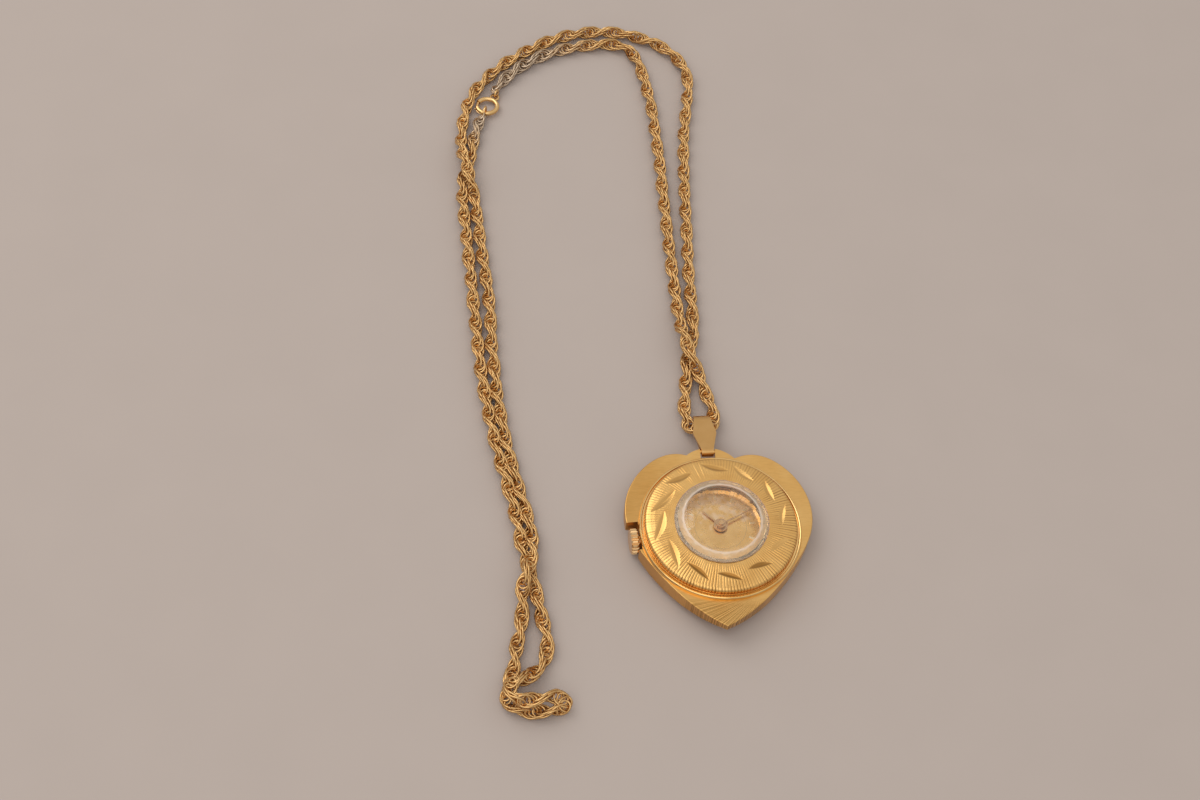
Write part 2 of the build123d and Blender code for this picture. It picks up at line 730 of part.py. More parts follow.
def make_main_plate():
    body = disc(movement_radius, plate_bottom, plate_top)
    body += disc(movement_radius + plate_flange_width, plate_top - plate_flange_thickness, plate_top)
    recess = disc(motion_recess_radius, recess_floor, plate_top + overrun)
    recess += block(0, keyless_recess_reach, -keyless_recess_low, keyless_recess_high, recess_floor,
                    plate_top + overrun)
    body -= recess
    window = winding_pinion_tip + seat_gap
    window_start = winding_pinion_reach - winding_pinion_length / 2 - seat_gap
    window_end = winding_pinion_reach + winding_pinion_length / 2 + seat_gap
    body -= block(window_start, window_end, -window, window, plate_bottom - overrun, plate_top + overrun)
    channel = clutch_radius + seat_gap
    channel_start = clutch_reach - clutch_length / 2 - clutch_travel - seat_gap
    body -= block(channel_start, window_start + overrun / 2, -channel, channel, plate_bottom - overrun,
                  recess_floor + overrun / 2)
    body -= stem_bore(stem_radius + running_gap, stem_inner_reach - seat_gap, movement_radius + overrun)
    pin_room = lever_pin_radius + seat_gap
    groove_end = stem_groove_reach + stem_groove_width / 2 + crown_pull_travel
    body -= block(stem_groove_reach - stem_groove_width / 2, groove_end, -pin_room * 2, pin_room * 2,
                  stem_height, plate_top + overrun)
    body -= disc(center_arbor_radius + running_gap, plate_bottom - overrun, recess_floor + overrun)
    body += disc(post_radius, recess_floor, plate_top, minute_x, minute_y)
    body += disc(post_radius, recess_floor, plate_top, setting_x, setting_y)
    body += disc(post_radius, recess_floor, plate_top, stem_groove_reach, -lever_arm)
    body += disc(post_radius, recess_floor, plate_top, clutch_reach, yoke_arm)
    body -= disc(barrel_pivot_radius + running_gap, plate_bottom - overrun, plate_bottom + pivot_length,
                 barrel_x, barrel_y)
    for x, y in jewel_points_plate:
        body -= disc(jewel_radius + press_gap, plate_bottom - overrun, plate_bottom + jewel_thickness, x, y)
        body -= disc(pivot_radius + running_gap, plate_bottom, pivot_plate_z + seat_gap, x, y)
    for x, y in screw_points:
        body -= disc(screw_shank_radius + press_gap, plate_bottom - overrun, plate_bottom + screw_depth, x, y)
    return in_case(body)


def bridge_feet(body, points):
    """Add feet that reach the main plate, with counterbored screw holes."""
    for x, y in points:
        body += disc(foot_radius, train_floor, plate_bottom, x, y)
    head_top = bridge_bottom + screw_head_height
    for x, y in points:
        body -= disc(screw_head_radius + seat_gap, bridge_bottom - overrun, head_top, x, y)
        body -= disc(screw_shank_radius + press_gap, bridge_bottom, plate_bottom + overrun, x, y)
    return body


def make_barrel_bridge():
    left = balance_x + balance_radius + bridge_side_gap
    low = -center_bridge_reach
    rim = movement_radius - seat_gap
    shelf = balance_y + balance_radius + bridge_side_gap
    outline = prism([(left, low), (crown_bridge_start, low), (crown_bridge_start, -crown_bridge_reach),
                     (rim, -crown_bridge_reach), (rim, rim), (-rim, rim), (-rim, shelf), (left, shelf)],
                    bridge_bottom, train_floor)
    body = outline & disc(rim - seat_gap, bridge_bottom, train_floor)
    body = bridge_feet(body, foot_points_barrel)
    wheel_room = ratchet_radius + winding_room
    recess_top = bridge_bottom + winding_wheel_thickness + seat_gap
    body -= disc(wheel_room, bridge_bottom - overrun, recess_top, barrel_x, barrel_y)
    body -= disc(crown_wheel_radius + winding_room, bridge_bottom - overrun, recess_top,
                 crown_wheel_x, crown_wheel_y)
    groove_top = bridge_bottom + winding_wheel_thickness + contrate_height + seat_gap
    ring_outer = contrate_radius + contrate_width / 2 + seat_gap
    ring_inner = contrate_radius - contrate_width / 2 - seat_gap
    groove = disc(ring_outer, bridge_bottom - overrun, groove_top, crown_wheel_x, crown_wheel_y)
    body -= groove - disc(ring_inner, bridge_bottom - 2 * overrun, train_floor, crown_wheel_x, crown_wheel_y)
    pinion_room = winding_pinion_length / 2 + seat_gap
    pinion_half = sqrt(winding_pinion_tip ** 2 - (stem_height - train_floor) ** 2) + seat_gap
    body -= block(winding_pinion_reach - pinion_room, winding_pinion_reach + pinion_room,
                  -pinion_half, pinion_half, recess_top - overrun / 2, train_floor + overrun)
    body -= disc(post_radius + running_gap, bridge_bottom - overrun, train_floor + overrun,
                 crown_wheel_x, crown_wheel_y)
    body -= disc(barrel_pivot_radius + running_gap, bridge_bottom - overrun, train_floor + overrun,
                 barrel_x, barrel_y)
    body -= disc(pivot_radius + running_gap, pivot_bridge_z - seat_gap, train_floor + overrun)
    post_top = bridge_bottom + bridge_thickness / 2
    body -= disc(click_post_radius + running_gap, bridge_bottom - overrun, post_top, click_x, click_y)
    body -= disc(click_room, bridge_bottom - overrun, recess_top, click_x, click_y)
    return body


def make_train_bridge():
    rim = movement_radius - seat_gap
    top = -center_bridge_reach - bridge_side_gap
    crown_top = -crown_bridge_reach - bridge_side_gap
    crown_start = crown_bridge_start - bridge_side_gap
    shelf = fork_y - train_shelf_gap
    shelf_end = escape_x + escape_radius + train_shelf_gap / 2
    corner = escape_x - jewel_radius * 2
    outline = prism([(shelf_end + train_shelf_gap, top), (crown_start, top), (crown_start, crown_top),
                     (rim, crown_top), (rim, -rim), (-rim, -rim), (-rim, escape_y - train_shelf_gap),
                     (corner - bridge_side_gap * 2, escape_y - train_shelf_gap), (corner, shelf),
                     (shelf_end, shelf)], bridge_bottom, train_floor)
    body = outline & disc(rim - seat_gap, bridge_bottom, train_floor)
    body = bridge_feet(body, foot_points_train)
    for x, y in jewel_points_train:
        body -= disc(jewel_radius + press_gap, train_floor - jewel_thickness, train_floor + overrun, x, y)
        body -= disc(pivot_radius + running_gap, pivot_bridge_z - seat_gap, train_floor + overrun, x, y)
    return body


def make_balance_cock():
    foot_x, foot_y = foot_point_cock
    arm = make_hull((Pos(foot_x, foot_y) * Circle(foot_radius * 1.3)).edges()
                    + (Pos(balance_x, balance_y) * Circle(cock_head_radius)).edges())
    body = Pos(0, 0, bridge_bottom) * extrude(arm, bridge_thickness)
    body &= disc(movement_radius - seat_gap, bridge_bottom, train_floor)
    body = bridge_feet(body, [foot_point_cock])
    body += disc(stud_radius, train_floor, train_floor + level_gap + hairspring_height,
                 balance_x + hairspring_outer_radius + hairspring_strip / 2 + stud_radius, balance_y)
    body -= disc(jewel_radius + press_gap, train_floor - jewel_thickness, train_floor + overrun,
                 balance_x, balance_y)
    body -= disc(pivot_radius + running_gap, pivot_bridge_z - seat_gap, train_floor + overrun,
                 balance_x, balance_y)
    return body


def make_pallet_bridge():
    high = pallet_bridge_low + pallet_bridge_thickness
    arm = make_hull((Pos(pallet_foot_x, pallet_foot_y) * Circle(post_radius * 1.4)).edges()
                    + (Pos(fork_x, fork_y) * Circle(post_radius * 1.2)).edges())
    body = Pos(0, 0, pallet_bridge_low) * extrude(arm, pallet_bridge_thickness)
    body += disc(post_radius, pallet_bridge_low, plate_bottom, pallet_foot_x, pallet_foot_y)
    pivot_hole = pivot_radius + running_gap
    return body - disc(pivot_hole, pallet_bridge_low - overrun, high + seat_gap / 2, fork_x, fork_y)


def make_jewels():
    stones = [tube(jewel_radius, jewel_bore_radius, train_floor - jewel_thickness, train_floor, x, y)
              for x, y in jewel_points_train + [(balance_x, balance_y)]]
    stones += [tube(jewel_radius, jewel_bore_radius, plate_bottom, plate_bottom + jewel_thickness, x, y)
               for x, y in jewel_points_plate]
    return Compound(children=[in_case(stone) for stone in stones])


def make_screws():
    screws = []
    for x, y in screw_points:
        body = disc(screw_head_radius, bridge_bottom, bridge_bottom + screw_head_height, x, y)
        body += disc(screw_shank_radius, bridge_bottom, plate_bottom + screw_depth - seat_gap, x, y)
        slot = screw_head_radius + seat_gap
        body -= block(x - slot, x + slot, y - screw_slot_width / 2, y + screw_slot_width / 2,
                      bridge_bottom - overrun, bridge_bottom + screw_slot_depth)
        screws.append(in_case(body))
    return Compound(children=screws)


def make_barrel():
    """Toothed drum with its lid side open to the spring."""
    low = level_low
    high = low + barrel_drum_height
    drum = barrel_teeth * barrel_module / 2 - 2 * barrel_module
    body = gear(barrel_teeth, barrel_module, 0, low, low + wheel_thickness, barrel_x, barrel_y)
    body += disc(drum, low, high, barrel_x, barrel_y)
    body -= disc(drum - barrel_drum_wall, low + barrel_floor, high - barrel_floor, barrel_x, barrel_y)
    body -= disc(barrel_arbor_radius + running_gap, low - overrun, high + overrun, barrel_x, barrel_y)
    return body


def make_mainspring():
    drum = barrel_teeth * barrel_module / 2 - 2 * barrel_module - barrel_drum_wall
    low = level_low + barrel_floor + seat_gap
    high = level_low + barrel_drum_height - barrel_floor - seat_gap
    return spiral(mainspring_turns, barrel_core_radius + mainspring_strip, drum - mainspring_strip / 2,
                  mainspring_strip, low, high, barrel_x, barrel_y)


def make_barrel_arbor():
    low = level_low + barrel_floor + seat_gap
    high = level_low + barrel_drum_height - barrel_floor - seat_gap
    drum_top = level_low + barrel_drum_height
    pivot_top = plate_bottom + pivot_length - seat_gap
    body = disc(barrel_arbor_radius, level_low - level_gap / 2, drum_top, barrel_x, barrel_y)
    body += disc(barrel_core_radius, low, high, barrel_x, barrel_y)
    return body + disc(barrel_pivot_radius, bridge_bottom, pivot_top, barrel_x, barrel_y)


def make_ratchet_wheel():
    body = gear(ratchet_teeth, winding_module, 0, bridge_bottom, bridge_bottom + winding_wheel_thickness,
                barrel_x, barrel_y)
    bore = barrel_pivot_radius + press_gap
    return body - disc(bore, bridge_bottom - overrun, train_floor, barrel_x, barrel_y)


def make_crown_wheel():
    """Flat wheel that drives the ratchet, with a ring of face teeth for the winding pinion."""
    top = bridge_bottom + winding_wheel_thickness
    body = gear(crown_wheel_teeth, winding_module, crown_wheel_phase, bridge_bottom, top,
                crown_wheel_x, crown_wheel_y)
    ring = tube(contrate_radius + contrate_width / 2, contrate_radius - contrate_width / 2, top,
                top + contrate_height, crown_wheel_x, crown_wheel_y)
    gap_width = 2 * pi * contrate_radius / crown_wheel_teeth * contrate_gap_share
    cut_low = top + contrate_height - contrate_cut
    for index in range(crown_wheel_teeth):
        turn = Pos(crown_wheel_x, crown_wheel_y, 0) * Rot(0, 0, index * 360 / crown_wheel_teeth)
        ring -= turn * block(contrate_radius - contrate_width, contrate_radius + contrate_width,
                             -gap_width / 2, gap_width / 2, cut_low, cut_low + overrun)
    body += ring
    return body + disc(post_radius, bridge_bottom, train_floor - seat_gap, crown_wheel_x, crown_wheel_y)


def make_click():
    low = bridge_bottom
    high = bridge_bottom + winding_wheel_thickness
    reach = click_distance - ratchet_radius - winding_module
    half = click_width / 2
    post_top = bridge_bottom + bridge_thickness / 2 - seat_gap
    nose = prism([(0, -half), (reach - seat_gap, 0), (0, half)], low, high)
    body = Pos(click_x, click_y, 0) * Rot(0, 0, click_direction + 180) * nose
    body += disc(half, low, high, click_x, click_y)
    return body + disc(click_post_radius, low, post_top, click_x, click_y)


def make_center_wheel():
    body = wheel(center_teeth, train_module, 0, level_high, 0, 0)
    body += gear(center_pinion_teeth, barrel_module, center_pinion_phase, train_floor + level_gap / 2,
                 level_low + wheel_thickness + level_gap / 4)
    body += disc(pivot_radius, pivot_bridge_z, train_floor + level_gap)
    return body + disc(center_arbor_radius, level_low, center_arbor_top)


def make_third_wheel():
    body = wheel(third_teeth, train_module, 0, level_middle, third_x, third_y)
    body += gear(third_pinion_teeth, train_module, third_pinion_phase, level_middle, plate_bottom - level_gap,
                 third_x, third_y)
    return body + arbor(third_x, third_y, train_floor + level_gap / 2, plate_bottom - level_gap / 2)


def make_fourth_wheel():
    body = wheel(fourth_teeth, escape_module, 0, level_low, fourth_x, fourth_y)
    body += gear(fourth_pinion_teeth, train_module, fourth_pinion_phase, level_low,
                 level_middle + wheel_thickness + level_gap / 2, fourth_x, fourth_y)
    return body + arbor(fourth_x, fourth_y, train_floor + level_gap / 2, plate_bottom - level_gap / 2)


def make_escape_wheel():
    """Fifteen hooked teeth on a rim, over its pinion."""
    step = 360 / escape_teeth
    points = []
    for index in range(escape_teeth):
        start = index * step
        points.append(polar(escape_root_radius, start))
        points.append(polar(escape_radius, start + step * 0.42))
        points.append(polar(escape_radius, start + step * 0.62))
        points.append(polar(escape_root_radius, start + step * 0.72))
    high = level_high + wheel_thickness
    body = Pos(escape_x, escape_y, 0) * prism(points, level_high, high)
    body -= windows(escape_root_radius * rim_share, hub_radius, spoke_count, spoke_width / 2,
                    level_high, high, escape_x, escape_y)
    body += gear(escape_pinion_teeth, escape_module, escape_pinion_phase, level_low, level_high,
                 escape_x, escape_y)
    return body + arbor(escape_x, escape_y, train_floor + level_gap / 2, plate_bottom - level_gap / 2)


def make_pallet_fork():
    """Lever with two arms, two stones and a notched end by the balance roller."""
    low = level_high
    high = low + wheel_thickness
    body = disc(fork_arm_width, low, high, fork_x, fork_y)
    wide = fork_arm_width / 2
    narrow = fork_arm_width / 3
    lever = prism([(0, -wide), (fork_length, -narrow), (fork_length, narrow), (0, wide)], low, high)
    body += Pos(fork_x, fork_y, 0) * Rot(0, 0, fork_direction) * lever
    for side in (-1, 1):
        stone_angle = fork_direction + side * pallet_spread_angle
        tip_x = escape_x + polar(pallet_reach + pallet_stone_length / 2, stone_angle)[0]
        tip_y = escape_y + polar(pallet_reach + pallet_stone_length / 2, stone_angle)[1]
        reach = hypot(tip_x - fork_x, tip_y - fork_y)
        towards = degrees(atan2(tip_y - fork_y, tip_x - fork_x))
        half = fork_arm_width / 2
        arm = prism([(0, -half), (reach, -half), (reach, half), (0, half)], low, high)
        body += Pos(fork_x, fork_y, 0) * Rot(0, 0, towards) * arm
        stone = Pos(pallet_reach + pallet_stone_length / 2, 0, (low + high) / 2)
        stone = Rot(0, 0, stone_angle) * stone * Box(pallet_stone_length, pallet_stone_width, high - low)
        body += Pos(escape_x, escape_y, 0) * stone
    body += disc(arbor_radius, low, plate_bottom - level_gap / 2, fork_x, fork_y)
    return body + disc(pivot_radius, pallet_bridge_low + seat_gap, pivot_plate_z, fork_x, fork_y)


def make_balance_wheel():
    high = balance_low + balance_thickness
    body = tube(balance_radius, balance_radius - balance_rim_width, balance_low, high, balance_x, balance_y)
    reach = balance_radius - balance_rim_width / 2
    bar = block(balance_x - reach, balance_x + reach, balance_y - spoke_width / 2,
                balance_y + spoke_width / 2, balance_low, high)
    body += bar + disc(hub_radius, balance_low, high, balance_x, balance_y)
    body += disc(roller_radius, level_high, level_high + wheel_thickness, balance_x, balance_y)
    collet = hairspring_inner_radius - hairspring_strip / 2 - running_gap
    body += disc(collet, train_floor + level_gap / 2, balance_low, balance_x, balance_y)
    return body + arbor(balance_x, balance_y, train_floor + level_gap / 2, plate_bottom - level_gap / 2)


def make_hairspring():
    low = train_floor + level_gap
    return spiral(hairspring_turns, hairspring_inner_radius, hairspring_outer_radius, hairspring_strip, low,
                  low + hairspring_height, balance_x, balance_y)


def make_cannon_pinion():
    pinion_high = recess_floor + motion_level_gap + motion_tooth_height
    body = gear(cannon_teeth, motion_module, cannon_phase, recess_floor + motion_level_gap, pinion_high)
    body += disc(cannon_radius, recess_floor + motion_level_gap, cannon_top)
    return body - disc(center_arbor_radius + running_gap, recess_floor - overrun, center_arbor_top + seat_gap)


def make_minute_wheel():
    low = recess_floor + motion_level_gap
    body = gear(minute_teeth, motion_module, 0, low, low + wheel_thickness, minute_x, minute_y)
    body += gear(minute_pinion_teeth, hour_module, 0, low, plate_top - motion_level_gap,
                 minute_x, minute_y)
    return body - disc(post_radius + running_gap, low - overrun, plate_top + overrun, minute_x, minute_y)


def make_hour_wheel():
    low = hour_wheel_low
    body = gear(hour_teeth, hour_module, hour_phase, low, plate_top - motion_level_gap)
    body += disc(hour_pipe_radius, low, hour_hand_low + hour_boss_height)
    return body - disc(cannon_radius + running_gap, low - overrun, hour_hand_low + hour_boss_height + overrun)


def make_setting_wheel():
    low = recess_floor + motion_level_gap
    body = gear(setting_teeth, motion_module, setting_phase, low, low + wheel_thickness, setting_x, setting_y)
    return body - disc(post_radius + running_gap, low - overrun, plate_top + overrun, setting_x, setting_y)


def square_hole(start, end):
    side = stem_square_side + 2 * running_gap
    return block(start, end, -side / 2, side / 2, stem_height - side / 2, stem_height + side / 2)


def make_winding_pinion():
    start = winding_pinion_reach - winding_pinion_length / 2
    end = winding_pinion_reach + winding_pinion_length / 2
    teeth = gear(winding_pinion_teeth, face_module, 0, 0, end - start)
    body = Pos(start, 0, stem_height) * Rot(0, 90, 0) * teeth
    return body - stem_bore(stem_radius + running_gap, start - overrun, end + overrun)


def make_sliding_pinion():
    start = clutch_reach - clutch_length / 2
    end = clutch_reach + clutch_length / 2
    module = 2 * clutch_radius / (winding_pinion_teeth + 2 * addendum_share)
    body = Pos(start, 0, stem_height) * Rot(0, 90, 0) * gear(winding_pinion_teeth, module, 0, 0, end - start)
    groove_start = clutch_reach - clutch_groove_width / 2
    groove_end = groove_start + clutch_groove_width
    groove = stem_bore(clutch_radius + overrun, groove_start, groove_end)
    groove -= stem_bore(clutch_groove_radius, groove_start - overrun, groove_end + overrun)
    return body - groove - square_hole(start - overrun, end + overrun)


def make_stem():
    body = stem_bore(stem_radius, stem_square_reach, crown_inner_reach + crown_boss_length)
    half = stem_square_side / 2
    body += block(stem_inner_reach, stem_square_reach + seat_gap, -half, half,
                  stem_height - half, stem_height + half)
    groove_start = stem_groove_reach - stem_groove_width / 2
    groove_end = groove_start + stem_groove_width
    groove = stem_bore(stem_radius + overrun, groove_start, groove_end)
    groove -= stem_bore(stem_groove_radius, groove_start - overrun, groove_end + overrun)
    return body - groove


def make_crown():
    """Fluted drum with a boss that enters the case and a blind hole for the stem."""
    points = []
    for index in range(crown_flutes):
        angle = index * 360 / crown_flutes
        step = 360 / crown_flutes
        points.append(polar(crown_radius - crown_flute_depth, angle))
        points.append(polar(crown_radius, angle + step * 0.25))
        points.append(polar(crown_radius, angle + step * 0.6))
        points.append(polar(crown_radius - crown_flute_depth, angle + step * 0.85))
    drum = prism(points, 0, crown_outer_reach - crown_inner_reach)
    bevel = crown_flute_depth
    height = crown_outer_reach - crown_inner_reach
    round_end = turned([(0, 0), (crown_radius - bevel, 0), (crown_radius, bevel),
                        (crown_radius, height - bevel), (crown_radius - bevel, height), (0, height)])
    drum = Pos(crown_inner_reach, 0, stem_height) * Rot(0, 90, 0) * (drum & round_end)
    boss_start = crown_inner_reach - crown_boss_length
    drum += stem_bore(crown_boss_radius, boss_start + seat_gap, crown_inner_reach + seat_gap)
    hole_end = crown_inner_reach + crown_boss_length + press_gap
    return drum - stem_bore(stem_radius + press_gap, boss_start - overrun, hole_end)


def make_setting_lever():
    low = recess_floor + motion_level_gap
    high = low + lever_thickness
    x = stem_groove_reach
    half = lever_width / 2
    body = block(x - half, x + half, -lever_arm - half, half, low, high)
    body += disc(lever_boss_radius, low, high, x, -lever_arm)
    body -= disc(post_radius + running_gap, low - overrun, high + overrun, x, -lever_arm)
    return body + disc(lever_pin_radius, stem_height + stem_groove_radius + seat_gap, low, x, 0)


def make_yoke():
    low = recess_floor + motion_level_gap
    high = low + lever_thickness
    x = clutch_reach
    half = lever_width / 2
    body = block(x - half, x + half, -half, yoke_arm + half, low, high)
    body += disc(lever_boss_radius, low, high, x, yoke_arm)
    body -= disc(post_radius + running_gap, low - overrun, high + overrun, x, yoke_arm)
    return body + disc(yoke_pin_radius, stem_height + clutch_groove_radius + seat_gap, low, x, 0)


# Route of the chain, from the clasp round to the clasp again
chain_route = [
    (-40.96, 113.89, 1.22), (-38.4, 117.8, 1.22), (-34.0, 122.3, 1.22), (-27.9, 126.6, 1.22),
    (-20.9, 129.3, 1.22), (-14.9, 129.2, 1.22), (-10.8, 125.7, 1.22), (-8.9, 119.4, 1.22),
    (-7.8, 110.6, 1.22), (-7.1, 98.8, 1.22), (-6.1, 84.0, 1.22), (-5.7, 70.0, 1.22),
    (-4.9, 60.2, 1.22), (-4.2, 53.4, 1.22), (-3.3, 47.2, 3.97), (-1.5, 39.8, 3.97),
    (-0.6, 34.2, 1.22), (0.85, 29.8, 1.3), (1.05, 23.8, 2.0), (-4.4, 23.8, 2.0),
    (-4.6, 29.8, 1.3), (-4.5, 34.4, 1.22), (-3.4, 39.8, 1.22), (-1.9, 46.6, 1.22),
    (-1.2, 53.6, 1.22), (-1.4, 63.4, 1.22), (-1.0, 77.2, 1.22), (-0.8, 91.6, 1.22),
    (0.1, 105.4, 1.22), (1.3, 116.2, 1.22), (0.5, 124.4, 1.22), (-3.8, 130.6, 1.22),
    (-11.8, 134.0, 1.22), (-22.2, 133.3, 1.22), (-31.8, 128.8, 1.22), (-40.1, 121.6, 1.22),
    (-46.4, 113.0, 1.22), (-48.9, 103.8, 1.22), (-49.2, 97.8, 1.22), (-48.6, 91.9, 3.97),
    (-46.9, 85.4, 3.97), (-45.8, 79.6, 1.22), (-45.2, 72.8, 1.22), (-43.9, 62.2, 1.22),
    (-42.5, 47.6, 1.22), (-40.9, 34.2, 1.22), (-38.6, 21.0, 1.22), (-35.6, 9.6, 1.22),
    (-34.0, 0.6, 1.22), (-34.0, -5.6, 3.97), (-35.6, -11.6, 3.97), (-36.9, -17.4, 1.22),
    (-37.5, -22.2, 1.22), (-38.9, -26.6, 1.22), (-39.7, -30.6, 1.22), (-38.6, -34.4, 1.22),
    (-34.6, -35.6, 1.22), (-27.3, -35.2, 1.22), (-27.3, -29.6, 1.22), (-35.0, -30.0, 1.22),
    (-35.3, -24.6, 1.22), (-32.3, -20.6, 1.22), (-32.2, -14.8, 1.22), (-35.0, -7.0, 1.22),
    (-36.9, -0.4, 1.22),
    (-38.9, 8.0, 1.22), (-41.6, 19.4, 1.22), (-43.6, 33.4, 1.22), (-45.2, 47.8, 1.22),
    (-46.8, 62.4, 1.22), (-48.2, 73.0, 1.22), (-48.9, 80.6, 1.22), (-48.2, 87.2, 1.22),
    (-46.9, 92.4, 1.22), (-46.0, 99.4, 1.22), (-44.19, 106.1, 1.22)]


def arc_radius(before, corner, after):
    """Largest arc that the shorter run beside a corner allows."""
    run_in = Vector(*corner) - Vector(*before)
    run_out = Vector(*after) - Vector(*corner)
    half_turn = radians(run_in.get_angle(run_out)) / 2
    return 0.45 * min(run_in.length, run_out.length) / tan(half_turn)


def make_chain():
    corners = zip(chain_route, chain_route[1:], chain_route[2:])
    bends = [arc_radius(*corner) for corner in corners]
    print("chain radii", [round(bend, 1) for bend in bends])
    path = FilletPolyline(*chain_route, radius=bends)
    start = Plane(origin=path @ 0, z_dir=path % 0)
    body = sweep(start * Circle(chain_radius), path=path)
    length = path.length
    tube_volume = pi * chain_radius ** 2 * length
    print("chain length", round(length, 1), "volume share", round(body.volume / tube_volume, 5))
    return body


def make_spring_ring():
    """Hollow ring, open for the gate, with a fixed eye for the chain."""
    z = clasp_height
    sweep_angle = 360 - ring_gap_angle
    start = ring_gap_start + ring_gap_angle
    body = torus_arc(ring_major, ring_minor, start, sweep_angle, ring_x, ring_y, z)
    bore_angle = ring_gap_angle + gate_hidden_angle + gate_stroke_angle + gate_end_play_angle
    body -= torus_arc(ring_major, ring_bore, ring_gap_start, bore_angle, ring_x, ring_y, z)
    socket_angle = gate_tip_angle * 2
    socket_start = ring_gap_start - socket_angle
    body -= torus_arc(ring_major, ring_bore, socket_start, socket_angle, ring_x, ring_y, z)
    slot_angle = gate_stroke_angle + nub_slot_angle
    slot_radius = gate_nub_radius + running_gap
    body -= torus_arc(ring_major + ring_minor, slot_radius, start, slot_angle, ring_x, ring_y, z)
    eye_reach = ring_major + ring_minor + ring_eye_major
    eye_x = ring_x + polar(eye_reach, ring_eye_angle)[0]
    eye_y = ring_y + polar(eye_reach, ring_eye_angle)[1]
    return body + torus_arc(ring_eye_major, ring_eye_minor, 0, 360, eye_x, eye_y, eye_height)


def make_clasp_gate():
    z = clasp_height
    start = ring_gap_start - gate_tip_angle
    sweep_angle = gate_tip_angle + ring_gap_angle + gate_hidden_angle
    body = torus_arc(ring_major, gate_radius, start, sweep_angle, ring_x, ring_y, z)
    nub_angle = ring_gap_start + ring_gap_angle + nub_slot_angle / 2
    nub = Rot(0, 90, 0) * Cylinder(gate_nub_radius, gate_nub_length)
    nub_place = Pos(ring_x, ring_y, z) * Rot(0, 0, nub_angle) * Pos(ring_major + gate_nub_length / 2, 0, 0)
    return body + nub_place * nub


def standing_ring(x, y, z, major, minor, angle):
    """Ring on edge, in the upright plane that holds the given direction."""
    return Pos(x, y, z) * Rot(0, 0, angle) * Rot(90, 0, 0) * torus_arc(major, minor, 0, 360, 0, 0, 0)


def make_jump_ring():
    eye_reach = ring_major + ring_minor + ring_eye_major
    reach = eye_reach + jump_shift
    x = ring_x + polar(reach, ring_eye_angle)[0]
    y = ring_y + polar(reach, ring_eye_angle)[1]
    z = jump_major + jump_minor + ring_lift
    return standing_ring(x, y, z, jump_major, jump_minor, ring_eye_angle)


def make_tag_ring():
    x = ring_x + polar(ring_major, tag_angle)[0]
    y = ring_y + polar(ring_major, tag_angle)[1]
    return standing_ring(x, y, tag_major + tag_minor + ring_lift, tag_major, tag_minor, tag_angle)


parts = {
    "case_body": make_case_body(),
    "case_back": make_case_back(),
    "bezel_ring": make_bezel_ring(),
    "bezel_plate": make_bezel_plate(),
    "crystal": make_crystal(),
    "dial_ring": make_dial_ring(),
    "dial": make_dial(),
    "dial_markers": make_markers(),
    "hour_hand": hand(hour_hand_length, hour_boss_radius, hour_boss_height, hour_pipe_radius + press_gap,
                      hour_hand_low, hour_angle),
    "minute_hand": hand(minute_hand_length, minute_boss_radius, minute_boss_height, cannon_radius + press_gap,
                        minute_hand_low, minute_angle),
    "bail": make_bail(),
    "crown": in_case(make_crown()),
    "winding_stem": in_case(make_stem()),
    "winding_pinion": in_case(make_winding_pinion()),
    "sliding_pinion": in_case(make_sliding_pinion()),
    "setting_lever": in_case(make_setting_lever()),
    "yoke": in_case(make_yoke()),
    "movement_ring": make_movement_ring(),
    "main_plate": make_main_plate(),
    "barrel_bridge": in_case(make_barrel_bridge()),
    "train_bridge": in_case(make_train_bridge()),
    "balance_cock": in_case(make_balance_cock()),
    "pallet_bridge": in_case(make_pallet_bridge()),
    "jewels": make_jewels(),
    "bridge_screws": make_screws(),
    "mainspring_barrel": in_case(make_barrel()),
    "mainspring": in_case(make_mainspring()),
    "barrel_arbor": in_case(make_barrel_arbor()),
    "ratchet_wheel": in_case(make_ratchet_wheel()),
    "crown_wheel": in_case(make_crown_wheel()),
    "click": in_case(make_click()),
    "center_wheel": in_case(make_center_wheel()),
    "third_wheel": in_case(make_third_wheel()),
    "fourth_wheel": in_case(make_fourth_wheel()),
    "escape_wheel": in_case(make_escape_wheel()),
    "pallet_fork": in_case(make_pallet_fork()),
    "balance_wheel": in_case(make_balance_wheel()),
    "hairspring": in_case(make_hairspring()),
    "cannon_pinion": in_case(make_cannon_pinion()),
    "minute_wheel": in_case(make_minute_wheel()),
    "hour_wheel": in_case(make_hour_wheel()),
    "setting_wheel": in_case(make_setting_wheel()),
    "chain": make_chain(),
    "spring_ring": make_spring_ring(),
    "clasp_gate": make_clasp_gate(),
    "jump_ring": make_jump_ring(),
    "tag_ring": make_tag_ring(),
}

for name, shape in parts.items():
    shape.label = name
    export_step(shape, "parts/" + name + ".step")
    print(name, len(shape.solids()), round(shape.volume, 3))
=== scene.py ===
"""Dressed scene of the heart pendant watch: fixed frame, visual pieces, floor, light and camera.

Metres, in the frame of the model: origin on the dial axis at the back cover, +Y to the bail, +Z out of
the dial. Lengths of the object are written in millimetres and multiplied by MM.
"""
import random
from math import cos, hypot, pi, radians, sin

import bpy
from mathutils import Matrix, Vector


